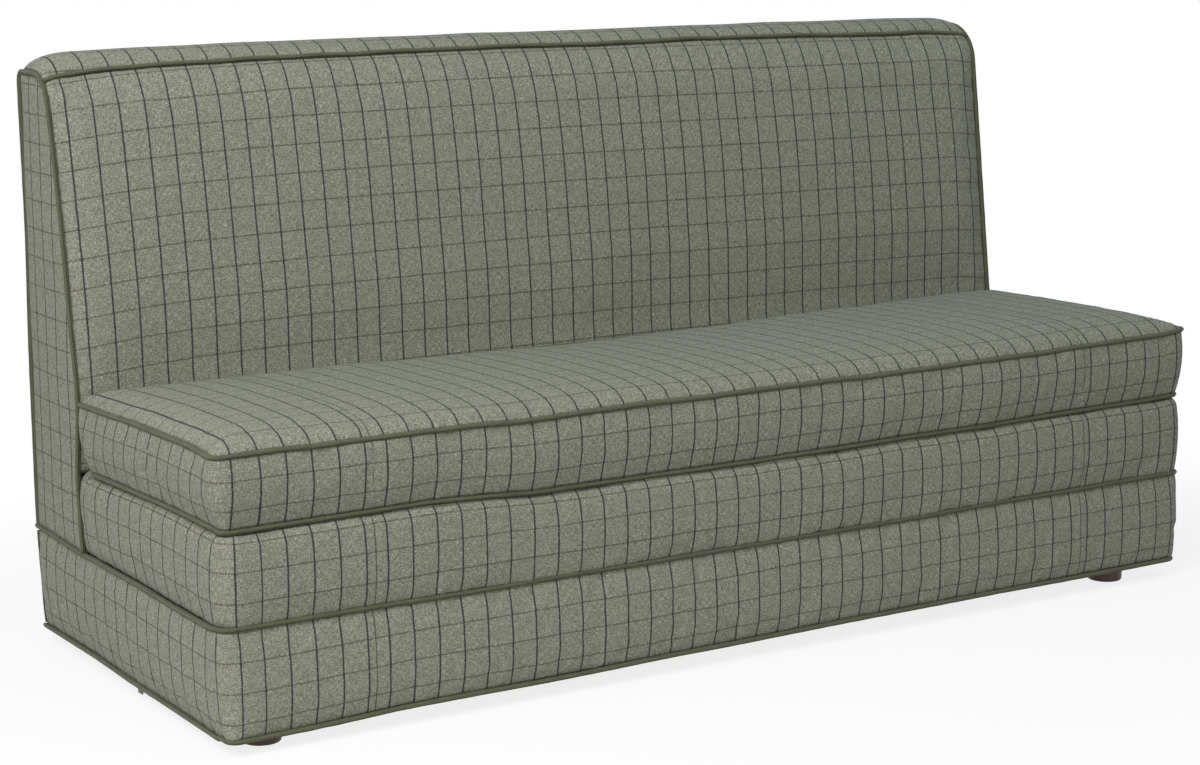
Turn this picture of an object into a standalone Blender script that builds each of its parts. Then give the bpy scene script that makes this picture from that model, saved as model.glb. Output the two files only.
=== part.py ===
"""Storage banquette: an armless upholstered settee whose seat lid lifts over a storage well.

Metres, +Z up. The front faces -Y, +X runs along the settee, and the origin is on the floor
under the middle of the settee.
"""
import math

import bmesh
import bpy
from mathutils import Matrix, Vector

# Fits
GAP = 0.0003                 # between pieces that touch
LID_CLEARANCE = 0.003        # between the lid's edges and the frame round it

# Upholstered outline, measured on the piping lines
BODY_WIDTH = 1.910
BODY_DEPTH = 0.724
FLOOR_GAP = 0.028            # floor to the lower piping
BASE_HEIGHT = 0.168          # lower piping to the piping round the base's top
SEAT_BORDER_HEIGHT = 0.144   # that piping to the deck
CORNER_RADIUS = 0.038        # front corners of the base and the seat border, in plan
SEAT_EDGE_RADIUS = 0.030     # rounded top edge of the seat border
BORDER_BULGE = 0.004
PIPING_RADIUS = 0.0045
PIPING_SIDES = 2             # curve resolution of the cord's section

# Padding and timber
SIDE_PAD = 0.020
REAR_PAD = 0.012
RIM_PAD = 0.018              # padding over the frame's top edge, round the lid
RIM_SETBACK = 0.001          # that padding's inner edge, back from the frame's inner face
PANEL = 0.018                # plywood of the frame
FLOOR_BOARD = 0.009
BACK_BOARD = 0.006
BEARER_WIDTH = 0.060
BEARER_HEIGHT = 0.030
DUST_COVER = 0.0012
DUST_COVER_LAP = 0.020       # tacked width under each floor bearer
CARCASS_LIFT = 0.012         # frame's lower edge above the lower piping
REAR_PANEL_HEIGHT = 0.270
REST_WIDTH = 0.020
REST_HEIGHT = 0.022
RAIL_WIDTH = 0.030
RAIL_HEIGHT = 0.060
CROSS_RAIL_THICK = 0.028
CROSS_RAIL_HEIGHT = 0.055

# Back
BACK_DEPTH = 0.220           # rear face to the back's front line, where that leaves the base
RECLINE = math.radians(7.83)
BACK_PAD = 0.045
BACK_CROWN = 0.008
BACK_EDGE_ROLL = 0.035       # how fast the back's face rises from its side piping
BACK_CREST = 0.989           # highest point of the rolled top
BACK_END_DROP = 0.007        # how much lower the roll is at its ends
ROLL_RADIUS = 0.088
SIDE_TOP = 0.956             # top of the side panels' piping
SIDE_ROLL_RADIUS = 0.055
TOP_SEAM_ANGLE = math.radians(52)
OUTSIDE_BACK_TOP = 0.938
BACK_STATIONS = (0, 0.012, 0.03, 0.07, 0.17, 0.4, 0.65)
SEAM_STATIONS = (0, 0.05, 0.17, 0.4)

# Seat cushion
CUSHION_TOP_INSET = 0.003    # upper piping's ends from the ends of the base
CUSHION_BOTTOM_INSET = 0.010
CUSHION_HEIGHT = 0.103       # lower piping to upper piping
CUSHION_LEAN = 0.016         # upper front piping behind the lower
CUSHION_CORNER = 0.028
CUSHION_CROWN = 0.025
CUSHION_CROWN_STEPS = (0.03, 0.07, 0.13, 0.21)
CUSHION_EDGE_ROLL = 0.050    # how fast the top rises from its piping
CUSHION_BULGE = 0.010
CUSHION_DRAW_IN = 0.004      # how far the long edges pull in between the corners
CUSHION_TOP_GAP = 0.013      # upper rear piping to the back's front line
CUSHION_BOTTOM_GAP = 0.023   # lower rear piping to the back's front line
CUSHION_REST = 0.040         # from the lower piping to the flat that rests on the lid
CUSHION_HEART = 0.200        # from the lower piping to the innermost ring of that flat
CUSHION_SEAM = 0.0012        # how far the cushion's cover is drawn in behind its piping

# Lid and its continuous hinge
LID_BOARD = 0.018
HINGE_SETBACK = 0.032        # hinge pin in front of the back's front line
HINGE_END = 0.064            # from the lid's end to the end of its hinge
KNUCKLES = 20
KNUCKLE_RADIUS = 0.0035
KNUCKLE_GAP = 0.0006
PIN_RADIUS = 0.0015
LEAF_THICK = 0.0012
LEAF_HEIGHT = 0.012
TAB_WIDTH = 0.040
TAB_THICK = 0.0012
TAB_REACH = 0.022            # pull tab in front of the lid
TAB_FIXED = 0.040            # pull tab let into the lid

# Gas struts: both pivots lie at one distance from the hinge pin
STRUT_FOOT_HEIGHT = 0.0161   # lower pivot above the storage floor
STRUT_FOOT_ANGLE = math.radians(74.9)
STRUT_LID_ANGLE = math.radians(9.4)
LID_OPENING = math.radians(55)
STRUT_INSET = 0.037          # strut's middle from the side panel
STRUT_RADIUS = 0.009
ROD_RADIUS = 0.004
ROD_CLEARANCE = 0.0006
ROD_ENGAGED = 0.015          # rod left in the cylinder with the lid open
BORE_ROOM = 0.005            # bore left below the rod with the lid shut
STRUT_NOSE = 0.002           # chamfer at the cylinder's mouth
NECK_RADIUS = 0.0054         # shank that carries a strut's eye
EYE_RADIUS = 0.009
EYE_LENGTH = 0.010
STUD_RADIUS = 0.004
STUD_SHOULDER = 0.006        # from a strut's eye to the lid bracket's ear
BRACKET = 0.003
BRACKET_SIZE = 0.040

# Feet and the linking bracket
FOOT_RADIUS = 0.031
FOOT_PROFILE = ((0.82, 1), (0.9, 0.85), (1, 0.6), (1, 0.3), (1, 0.1), (0.96, 0))
FOOT_INSET_LEFT = 0.085      # foot's middle from the left end of the base
FOOT_INSET_RIGHT = 0.123     # and from its right end
FOOT_INSET_Y = 0.057         # front foot's middle from the front of the base
LINK_WIDTH = 0.015
LINK_DROP = 0.037
LINK_THICK = 0.0025
LINK_PLATE = 0.040
LINK_Y = -0.004

# Levels and planes that follow from these
HALF_WIDTH = BODY_WIDTH / 2
HALF_DEPTH = BODY_DEPTH / 2
BACK_FOOT_Y = HALF_DEPTH - BACK_DEPTH
BASE_TOP = FLOOR_GAP + BASE_HEIGHT
DECK = BASE_TOP + SEAT_BORDER_HEIGHT
FRAME_X = HALF_WIDTH - SIDE_PAD
FRAME_FRONT = -HALF_DEPTH + SIDE_PAD
FRAME_REAR = HALF_DEPTH - REAR_PAD
FRAME_BOTTOM = FLOOR_GAP + CARCASS_LIFT
FRAME_TOP = DECK - RIM_PAD
STORAGE_FLOOR = FRAME_BOTTOM + BEARER_HEIGHT + FLOOR_BOARD
INNER_X = FRAME_X - PANEL
INNER_FRONT = FRAME_FRONT + PANEL
INNER_REAR = FRAME_REAR - PANEL
SEAT = PIPING_RADIUS + GAP   # a chamfer at this distance from a piping's centre
CHAMFER = SEAT * math.sqrt(2)
ARC_STEPS = 5


def back_point(along, depth):
    """The y and z of a point up the back's slope, at a depth behind its front line."""
    y = BACK_FOOT_Y + along * math.sin(RECLINE) + depth * math.cos(RECLINE)
    z = BASE_TOP + along * math.cos(RECLINE) - depth * math.sin(RECLINE)
    return y, z


def along_at(z, depth=0.0):
    """How far up the back's slope a height lies."""
    return (z - BASE_TOP + depth * math.sin(RECLINE)) / math.cos(RECLINE)


def back_line(z):
    """The y of the back's front line at a height."""
    return back_point(along_at(z), 0.0)[0]


PIN_Y = back_line(DECK) - HINGE_SETBACK
PIN_Z = DECK - KNUCKLE_RADIUS
HINGE_FACE = KNUCKLE_RADIUS + GAP
HINGE_LENGTH = 2 * (INNER_X - LID_CLEARANCE - HINGE_END)
STRUT_REACH = (PIN_Z - STORAGE_FLOOR - STRUT_FOOT_HEIGHT) / math.sin(STRUT_FOOT_ANGLE)
CUSHION_BOTTOM = DECK + GAP + PIPING_RADIUS
CUSHION_TOP = CUSHION_BOTTOM + CUSHION_HEIGHT


# Scene, collections and materials
for old in list(bpy.data.objects):
    bpy.data.objects.remove(old, do_unlink=True)

parts = bpy.data.collections.new("storage_banquette")
cutters = bpy.data.collections.new("cutters")
bpy.context.scene.collection.children.link(parts)
bpy.context.scene.collection.children.link(cutters)


def material(name, color, roughness, metallic=0.0):
    """A plain Principled material."""
    made = bpy.data.materials.new(name)
    made.use_nodes = True
    shader = made.node_tree.nodes["Principled BSDF"]
    shader.inputs["Base Color"].default_value = (*color, 1.0)
    shader.inputs["Roughness"].default_value = roughness
    shader.inputs["Metallic"].default_value = metallic
    return made


CLOTH = material("check_tweed", (0.22, 0.23, 0.18), 0.95)
CORD = material("piping_cloth", (0.09, 0.10, 0.05), 0.9)
PLY = material("birch_plywood", (0.62, 0.46, 0.29), 0.6)
PINE = material("pine", (0.66, 0.48, 0.28), 0.65)
STAINED = material("stained_beech", (0.07, 0.025, 0.012), 0.4)
ZINC = material("zinc_plate", (0.62, 0.64, 0.66), 0.35, 1.0)
STEEL = material("bright_steel", (0.70, 0.70, 0.70), 0.2, 1.0)
BLACK = material("black_paint", (0.02, 0.02, 0.022), 0.35)
LINING = material("black_lining", (0.02, 0.02, 0.02), 0.95)
WEBBING = material("webbing", (0.10, 0.10, 0.09), 0.9)


# Modelling helpers
def place(obj, at, turn, parent):
    """Put an object at a world place, kept there when it has a parent."""
    obj.location = at
    obj.rotation_euler = turn
    if parent:
        obj.parent = parent
        obj.matrix_parent_inverse = parent.matrix_basis.inverted()


def add(name, data, mat, at=(0, 0, 0), turn=(0, 0, 0), parent=None, home=parts):
    """A named object with its material, among the parts or the cutters."""
    data.materials.append(mat)
    obj = bpy.data.objects.new(name, data)
    home.objects.link(obj)
    place(obj, at, turn, parent)
    if home is cutters:
        obj.hide_render = True
        obj.display_type = "WIRE"
    return obj


def empty(name, at, turn=(0, 0, 0), parent=None):
    """An empty that marks the axis of a moving piece."""
    obj = bpy.data.objects.new(name, None)
    obj.empty_display_size = 0.05
    parts.objects.link(obj)
    place(obj, at, turn, parent)
    return obj


def finish(bm, name):
    """A mesh from a bmesh, with its faces pointing out."""
    bmesh.ops.recalc_face_normals(bm, faces=bm.faces[:])
    mesh = bpy.data.meshes.new(name)
    bm.to_mesh(mesh)
    bm.free()
    return mesh


def box(name, low, high, mat, parent=None, home=parts):
    """A block between two corners in the world."""
    size = [b - a for a, b in zip(low, high)]
    middle = [(a + b) / 2 for a, b in zip(low, high)]
    bm = bmesh.new()
    bmesh.ops.create_cube(bm, size=1.0)
    bmesh.ops.scale(bm, vec=size, verts=bm.verts[:])
    return add(name, finish(bm, name), mat, at=middle, parent=parent, home=home)


def rod_x(name, low_x, high_x, y, z, radius, mat, sides=12, home=parts, parent=None):
    """A round bar along X."""
    bm = bmesh.new()
    turn = Matrix.Rotation(math.pi / 2, 4, "Y")
    bmesh.ops.create_cone(bm, cap_ends=True, segments=sides, radius1=radius, radius2=radius,
                          depth=high_x - low_x, matrix=turn)
    return add(name, finish(bm, name), mat, at=((low_x + high_x) / 2, y, z), parent=parent, home=home)


def tilted_box(name, along, depth, half_x, mat):
    """A block lying along the back's slope, from spans up the slope and behind its front line."""
    middle = back_point(sum(along) / 2, sum(depth) / 2)
    bm = bmesh.new()
    bmesh.ops.create_cube(bm, size=1.0)
    size = (2 * half_x, depth[1] - depth[0], along[1] - along[0])
    bmesh.ops.scale(bm, vec=size, verts=bm.verts[:])
    return add(name, finish(bm, name), mat, at=(0, *middle), turn=(-RECLINE, 0, 0))


def plate(name, outline, thickness, plane, at, mat, parent=None):
    """A flat outline as a filled 2D curve, extruded both ways from its plane."""
    turns = {"XY": (0, 0, 0), "XZ": (math.pi / 2, 0, 0), "YZ": (math.pi / 2, 0, math.pi / 2)}
    curve = bpy.data.curves.new(name, "CURVE")
    curve.dimensions = "2D"
    curve.fill_mode = "BOTH"
    curve.extrude = thickness / 2
    spline = curve.splines.new("POLY")
    spline.points.add(len(outline) - 1)
    for point, (u, v) in zip(spline.points, outline):
        point.co = (u, v, 0, 1)
    spline.use_cyclic_u = True
    return add(name, curve, mat, at=at, turn=turns[plane], parent=parent)


def as_mesh(obj):
    """The same object with its curve made a welded mesh, ready to be cut or joined."""
    bpy.context.view_layer.update()
    mesh = bpy.data.meshes.new_from_object(obj.evaluated_get(bpy.context.evaluated_depsgraph_get()))
    bm = bmesh.new()
    bm.from_mesh(mesh)
    bmesh.ops.remove_doubles(bm, verts=bm.verts[:], dist=0.00001)
    bm.to_mesh(mesh)
    bm.free()
    made = bpy.data.objects.new(obj.name, mesh)
    made.parent = obj.parent
    made.matrix_parent_inverse = obj.matrix_parent_inverse
    made.matrix_basis = obj.matrix_basis
    name = obj.name
    bpy.data.objects.remove(obj, do_unlink=True)
    made.name = name
    parts.objects.link(made)
    return made


def tube(name, points, mat, cyclic=False, parent=None):
    """A cord of piping along points in the world."""
    curve = bpy.data.curves.new(name, "CURVE")
    curve.dimensions = "3D"
    curve.bevel_depth = PIPING_RADIUS
    curve.bevel_resolution = PIPING_SIDES
    curve.use_fill_caps = not cyclic
    spline = curve.splines.new("POLY")
    spline.points.add(len(points) - 1)
    middle = sum((Vector(p) for p in points), Vector()) / len(points)
    for point, position in zip(spline.points, points):
        point.co = (*(Vector(position) - middle), 1)
    spline.use_cyclic_u = cyclic
    return add(name, curve, mat, at=middle, parent=parent)


def turned(name, profile, at, mat, steps=24, turn=(0, 0, 0), parent=None, home=parts):
    """A turned shape: a profile of radius and height, given top to bottom on its outer side."""
    mesh = bpy.data.meshes.new(name)
    edges = [(i, i + 1) for i in range(len(profile) - 1)]
    mesh.from_pydata([(radius, 0, height) for radius, height in profile], edges, [])
    obj = add(name, mesh, mat, at=at, turn=turn, parent=parent, home=home)
    screw = obj.modifiers.new("turn", "SCREW")
    screw.axis = "Z"
    screw.steps = steps
    screw.render_steps = steps
    screw.use_merge_vertices = True
    screw.merge_threshold = 0.0001
    screw.use_smooth_shade = True
    return obj


def loft(name, rings, mat, parent=None):
    """A soft solid skinned over a row of rings with equal counts of points, closed by its end rings."""
    middle = sum((Vector(p) for ring in rings for p in ring), Vector()) / sum(len(r) for r in rings)
    bm = bmesh.new()
    rows = [[bm.verts.new(Vector(p) - middle) for p in ring] for ring in rings]
    for row, above in zip(rows, rows[1:]):
        for i in range(len(row)):
            j = (i + 1) % len(row)
            bm.faces.new((row[i], row[j], above[j], above[i]))
    bm.faces.new(rows[0])
    bm.faces.new(rows[-1])
    return add(name, finish(bm, name), mat, at=middle, parent=parent)


def boolean(obj, operation, *operands):
    """Keep a union or a cut with each operand as a modifier."""
    for operand in operands:
        step = obj.modifiers.new(operand.name, "BOOLEAN")
        step.operation = operation
        step.solver = "EXACT"
        step.object = operand


def spread(low, high, count):
    """Evenly spaced values with both ends."""
    return [low + (high - low) * i / (count - 1) for i in range(count)]


def arc(centre, radius, start, end, steps=ARC_STEPS):
    """Points on an arc in a plane, with both ends."""
    return [(centre[0] + radius * math.cos(a), centre[1] + radius * math.sin(a))
            for a in spread(start, end, steps)]


def inset(outline, distance):
    """A closed outline moved in by a distance, for an outline that runs anticlockwise."""
    moved = []
    count = len(outline)
    for i, point in enumerate(outline):
        before = Vector(point) - Vector(outline[i - 1])
        after = Vector(outline[(i + 1) % count]) - Vector(point)
        left = Vector((-before.y, before.x)).normalized()
        right = Vector((-after.y, after.x)).normalized()
        along = (left + right) / max(1 + left.dot(right), 0.2)
        moved.append(tuple(Vector(point) + along * distance))
    return moved


# Timber frame
def build_frame():
    """Plywood panels, posts, rails, floor and the rests that the lid lies on."""
    corner = PANEL - GAP
    half = FRAME_X - GAP
    front = FRAME_FRONT + GAP
    outline = arc((-half + corner, front + corner), corner, math.pi, 1.5 * math.pi)
    outline += arc((half - corner, front + corner), corner, 1.5 * math.pi, 2 * math.pi)
    height = FRAME_TOP - FRAME_BOTTOM
    middle = (FRAME_TOP + FRAME_BOTTOM) / 2
    plate("front_panel", outline, height, "XY", (0, 0, middle), PLY)

    post_depth = BACK_PAD + BACK_BOARD + 2 * GAP
    post_foot = back_point(along_at(FRAME_TOP, post_depth), post_depth)[0]
    post_top = BACK_CREST - ROLL_RADIUS + (ROLL_RADIUS - BACK_PAD) / 3
    post_head = back_point(along_at(post_top, post_depth), post_depth)[0]
    post = [(post_foot, FRAME_BOTTOM), (FRAME_REAR - GAP, FRAME_BOTTOM), (FRAME_REAR - GAP, post_top),
            (post_head, post_top), (post_foot, FRAME_TOP)]
    for side, sign in (("left", -1), ("right", 1)):
        span = sorted((sign * INNER_X, sign * (FRAME_X - GAP)))
        box(f"{side}_side_panel", (span[0], INNER_FRONT + GAP, FRAME_BOTTOM),
            (span[1], post_foot - GAP, FRAME_TOP), PLY)
        plate(f"{side}_back_post", post, PANEL - GAP, "YZ", (sum(span) / 2, 0, 0), PINE)

    inner = INNER_X - GAP
    rear = INNER_REAR - GAP
    box("rear_panel", (-inner, INNER_REAR, FRAME_BOTTOM),
        (inner, FRAME_REAR - GAP, FRAME_BOTTOM + REAR_PANEL_HEIGHT), PLY)
    bearer_top = FRAME_BOTTOM + BEARER_HEIGHT
    box("front_floor_bearer", (-inner, INNER_FRONT + GAP, FRAME_BOTTOM),
        (inner, INNER_FRONT + BEARER_WIDTH, bearer_top), PINE)
    box("rear_floor_bearer", (-inner, rear - BEARER_WIDTH, FRAME_BOTTOM), (inner, rear, bearer_top), PINE)
    box("storage_floor", (-inner, INNER_FRONT + GAP, bearer_top + GAP),
        (inner, rear, STORAGE_FLOOR), PLY)

    rail_front = PIN_Y + HINGE_FACE
    box("hinge_rail", (-inner, rail_front, DECK - RAIL_HEIGHT), (inner, rail_front + RAIL_WIDTH, DECK), PINE)
    rest_top = DECK - LID_BOARD - GAP
    box("front_lid_rest", (-inner + REST_WIDTH + GAP, INNER_FRONT + GAP, rest_top - REST_HEIGHT),
        (inner - REST_WIDTH - GAP, INNER_FRONT + REST_WIDTH, rest_top), PINE)
    for side, sign in (("left", -1), ("right", 1)):
        span = sorted((sign * inner, sign * (inner - REST_WIDTH)))
        box(f"{side}_lid_rest", (span[0], INNER_FRONT + GAP, rest_top - REST_HEIGHT),
            (span[1], PIN_Y - RAIL_WIDTH, rest_top), PINE)

    rail_depth = (post_depth, post_depth + CROSS_RAIL_THICK)
    low = along_at(DECK) + GAP
    tilted_box("back_lower_rail", (low, low + CROSS_RAIL_HEIGHT), rail_depth, inner, PINE)
    mid = (along_at(DECK) + along_at(post_top)) / 2
    tilted_box("back_middle_rail", (mid, mid + CROSS_RAIL_HEIGHT), rail_depth, inner, PINE)
    box("back_top_rail", (-inner, post_head, post_top - CROSS_RAIL_HEIGHT),
        (inner, FRAME_REAR - GAP, post_top), PINE)
    board = (BACK_PAD + GAP, BACK_PAD + GAP + BACK_BOARD)
    board_top = roll_centre(crest_at(FRAME_X), ROLL_RADIUS)[1] - GAP
    tilted_box("back_board", (low, board_top), board, FRAME_X - GAP, PLY)
    cover_x = HALF_WIDTH - FOOT_INSET_RIGHT - FOOT_RADIUS - LID_CLEARANCE
    tacked = BEARER_WIDTH - DUST_COVER_LAP
    under = FRAME_BOTTOM - GAP
    box("dust_cover", (-cover_x, INNER_FRONT + tacked, under - DUST_COVER),
        (cover_x, rear - tacked, under), LINING)
    return post_top


# Upholstered borders of the base and the seat
def band(name, stations, section, mat):
    """A padded border: a section of offsets and heights carried along a path of points and normals."""
    rings = [[(x + nx * out, y + ny * out, z) for out, z in section] for (x, y), (nx, ny) in stations]
    return loft(name, rings, mat)


def corner_path():
    """The front outline of the base in plan, round both front corners, with its outward normals."""
    reach = HALF_WIDTH - CORNER_RADIUS
    stations = []
    for sign, start in ((-1, math.pi), (1, 1.5 * math.pi)):
        centre = (sign * reach, -HALF_DEPTH + CORNER_RADIUS)
        for angle in spread(start, start + math.pi / 2, ARC_STEPS):
            normal = (math.cos(angle), math.sin(angle))
            point = (centre[0] + CORNER_RADIUS * normal[0], centre[1] + CORNER_RADIUS * normal[1])
            stations.append((point, normal))
    return stations


def side_path(sign, start, end):
    """A straight run along one side."""
    return [((sign * HALF_WIDTH, y), (sign, 0)) for y in (start, end)]


def base_section():
    """Section of the base border, drawn in at both piping lines."""
    low, high = FLOOR_GAP, BASE_TOP - GAP
    swell = [(BORDER_BULGE * math.sin(math.pi * t), low + (high - low) * t) for t in (0.25, 0.5, 0.75)]
    outer = [(-CHAMFER, low), (0, low + CHAMFER), *swell, (0, high - CHAMFER), (-CHAMFER, high)]
    return outer + [(-SIDE_PAD, high), (-SIDE_PAD, low)]


def seat_section():
    """Section of the seat border: a rounded top edge and a lip over the frame."""
    low = BASE_TOP + GAP
    shoulder = DECK - SEAT_EDGE_RADIUS
    swell = [(BORDER_BULGE, (low + shoulder) / 2)]
    edge = arc((-SEAT_EDGE_RADIUS, shoulder), SEAT_EDGE_RADIUS, 0, math.pi / 2, ARC_STEPS)
    lip = -SIDE_PAD - PANEL + RIM_SETBACK
    outer = [(-CHAMFER, low), (0, low + CHAMFER), *swell, *edge]
    return outer + [(lip, DECK), (lip, FRAME_TOP + GAP), (-SIDE_PAD, FRAME_TOP + GAP), (-SIDE_PAD, low)]


def raised_panel(name, half_x, low, high, rear, mat):
    """A flat rear panel with its outer edges drawn in to the piping."""
    def rectangle(y, margin):
        x, z0, z1 = half_x - margin, low + margin, high - margin
        cut = CHAMFER
        corners = [(-x + cut, z0), (x - cut, z0), (x, z0 + cut), (x, z1 - cut)]
        corners += [(x - cut, z1), (-x + cut, z1), (-x, z1 - cut), (-x, z0 + cut)]
        return [(u, y, v) for u, v in corners]
    rings = [rectangle(FRAME_REAR + GAP, 0), rectangle(rear - CHAMFER, 0), rectangle(rear, CHAMFER)]
    return loft(name, rings, mat)


def build_borders():
    """Base and seat borders on the front and both sides, and the base's rear border."""
    start = -HALF_DEPTH + CORNER_RADIUS + GAP
    band("base_front_border", corner_path(), base_section(), CLOTH)
    rim = band("seat_front_border", corner_path(), seat_section(), CLOTH)
    for side, sign in (("left", -1), ("right", 1)):
        band(f"base_{side}_border", side_path(sign, start, FRAME_REAR), base_section(), CLOTH)
        section = seat_section()
        rings = [[(sign * (HALF_WIDTH + out), start, z) for out, z in section]]
        for margin, most in ((3 * CHAMFER, BORDER_BULGE), (CHAMFER, 0), (GAP, -CHAMFER)):
            rings.append([(sign * (HALF_WIDTH + min(out, most)), back_line(z) - margin, z)
                          for out, z in section])
        loft(f"seat_{side}_border", rings, CLOTH)
    raised_panel("base_rear_border", HALF_WIDTH, FLOOR_GAP, BASE_TOP - GAP, HALF_DEPTH, CLOTH)
    return rim


# Upholstered back
def roll_centre(crest, radius):
    """Centre of the roll that joins the back's front line to a crest."""
    along = along_at(crest - radius, radius)
    return back_point(along, radius), along


def crest_at(x):
    """Height of the rolled top along the settee, a little lower at its ends."""
    return BACK_CREST - BACK_END_DROP * (abs(x) / HALF_WIDTH) ** 6


def along_back(steps):
    """Places along the back, given as distances in from each of its ends, with its middle."""
    ends = [FRAME_X - GAP - step for step in steps]
    return [-x for x in ends] + [0.0] + ends[::-1]


def roll_point(crest, radius, angle, reach):
    """A point at a distance from the roll's centre, at an angle up from the front."""
    (y, z), _ = roll_centre(crest, radius)
    return y - reach * math.cos(angle), z + reach * math.sin(angle)


def edge_rise(distance, length):
    """How far a padded face has risen at a distance from its seam, from 0 to 1."""
    return 1 - math.exp(-max(distance, 0) / length)


def pad_section(x):
    """Section of the inside back at one place along it: crowned face, rolled top, flat rear."""
    crest = crest_at(x)
    _, top = roll_centre(crest, ROLL_RADIUS)
    across = edge_rise(FRAME_X - abs(x), BACK_EDGE_ROLL)
    foot = along_at(DECK) + 2 * GAP
    outer = []
    for along in spread(foot, top, 8):
        rise = BACK_CROWN * across * edge_rise(along - foot, 2 * BACK_EDGE_ROLL)
        outer.append(back_point(along, -rise))
    groove = CHAMFER / ROLL_RADIUS
    for angle in spread(RECLINE, TOP_SEAM_ANGLE - groove, ARC_STEPS + 1)[1:]:
        share = (TOP_SEAM_ANGLE - angle) / (TOP_SEAM_ANGLE - RECLINE)
        rise = BACK_CROWN * across * share
        outer.append(roll_point(crest, ROLL_RADIUS, angle, ROLL_RADIUS + rise))
    seam = TOP_SEAM_ANGLE - GAP / ROLL_RADIUS
    reach = ROLL_RADIUS - BACK_PAD
    inner = [roll_point(crest, ROLL_RADIUS, seam, ROLL_RADIUS - CHAMFER)]
    inner += [roll_point(crest, ROLL_RADIUS, angle, reach) for angle in spread(seam, RECLINE, ARC_STEPS)]
    inner.append(back_point(foot, BACK_PAD))
    return outer + inner


def top_section(x, post_top):
    """Section of the top border: the rest of the roll, over the top rail and down to the outside back."""
    crest = crest_at(x)
    seam = TOP_SEAM_ANGLE + GAP / ROLL_RADIUS
    groove = CHAMFER / ROLL_RADIUS
    outer = [roll_point(crest, ROLL_RADIUS, seam, ROLL_RADIUS - CHAMFER)]
    outer += [roll_point(crest, ROLL_RADIUS, angle, ROLL_RADIUS)
              for angle in spread(TOP_SEAM_ANGLE + groove, math.pi / 2, ARC_STEPS)]
    drop = HALF_DEPTH - outer[-1][0]
    corner = (HALF_DEPTH - drop, crest - drop)
    outer += arc(corner, drop, math.pi / 2, 0, ARC_STEPS)[1:]
    seat = post_top + GAP
    rear = [(HALF_DEPTH, OUTSIDE_BACK_TOP + GAP), (FRAME_REAR, OUTSIDE_BACK_TOP + GAP), (FRAME_REAR, seat)]
    tongue = roll_point(crest, ROLL_RADIUS, seam, ROLL_RADIUS - BACK_PAD)
    return outer + rear + [(tongue[0], seat), tongue]


def side_outline(crest, radius):
    """Outline of a side panel of the back, anticlockwise seen from +X."""
    centre, _ = roll_centre(crest, radius)
    low = BASE_TOP + GAP
    roll = arc(centre, radius, math.pi / 2, math.pi - RECLINE, 2 * ARC_STEPS - 1)
    front = [back_point(along_at(z), 0) for z in spread(centre[1], low, 5)[1:]]
    return [(FRAME_REAR, low), (FRAME_REAR, crest), *roll, *front]


def build_back(post_top):
    """Inside back, top border, side borders and the outside back."""
    stations = along_back(BACK_STATIONS)
    loft("back_pad", [[(x, y, z) for y, z in pad_section(x)] for x in stations], CLOTH)
    loft("back_top_border", [[(x, y, z) for y, z in top_section(x, post_top)] for x in stations], CLOTH)

    inner = side_outline(crest_at(FRAME_X), ROLL_RADIUS)
    outer = side_outline(SIDE_TOP, SIDE_ROLL_RADIUS)
    for side, sign in (("left", -1), ("right", 1)):
        rings = []
        width = SIDE_PAD - CHAMFER
        for share in (0, 0.4, 0.75, 1):
            blend = 1 - math.sqrt(1 - share * share)
            ring = [(a[0] + (b[0] - a[0]) * blend, a[1] + (b[1] - a[1]) * blend)
                    for a, b in zip(inner, outer)]
            rings.append([(sign * (FRAME_X + GAP + share * width), y, z) for y, z in ring])
        rings.append([(sign * HALF_WIDTH, y, z) for y, z in inset(outer, CHAMFER)])
        loft(f"back_{side}_border", rings, CLOTH)
    raised_panel("outside_back", HALF_WIDTH, BASE_TOP + GAP, OUTSIDE_BACK_TOP, HALF_DEPTH, CLOTH)


# Piping
def base_ring(z):
    """The base's outline in plan at a height: round front corners and square rear corners."""
    front = [point for point, _ in corner_path()]
    rear = [(HALF_WIDTH, HALF_DEPTH), (-HALF_WIDTH, HALF_DEPTH)]
    return [(x, y, z) for x, y in front + rear]


def build_piping():
    """Fabric-covered cord in every seam that the settee shows."""
    tube("base_bottom_piping", base_ring(FLOOR_GAP), CORD, cyclic=True)
    tube("base_top_piping", base_ring(BASE_TOP), CORD, cyclic=True)
    clear = 2 * PIPING_RADIUS + GAP
    for side, sign in (("left", -1), ("right", 1)):
        x = sign * HALF_WIDTH
        low = BASE_TOP + clear
        front = [(back_line(z), z) for z in spread(low, SIDE_TOP - 2 * SIDE_ROLL_RADIUS, 4)]
        centre, _ = roll_centre(SIDE_TOP, SIDE_ROLL_RADIUS)
        over = arc(centre, SIDE_ROLL_RADIUS, math.pi - RECLINE, math.pi / 2, 2 * ARC_STEPS - 1)
        bend = PIPING_RADIUS * 2
        rear = arc((HALF_DEPTH - bend, SIDE_TOP - bend), bend, math.pi / 2, 0, 4)
        tube(f"back_{side}_piping", [(x, y, z) for y, z in [*front, *over, *rear, (HALF_DEPTH, low)]], CORD)
        base = [(x, HALF_DEPTH, FLOOR_GAP + clear), (x, HALF_DEPTH, BASE_TOP - clear)]
        tube(f"base_{side}_rear_piping", base, CORD)
    seam = [(x, *roll_point(crest_at(x), ROLL_RADIUS, TOP_SEAM_ANGLE, ROLL_RADIUS))
            for x in along_back(SEAM_STATIONS)]
    tube("back_top_piping", seam, CORD)


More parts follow.
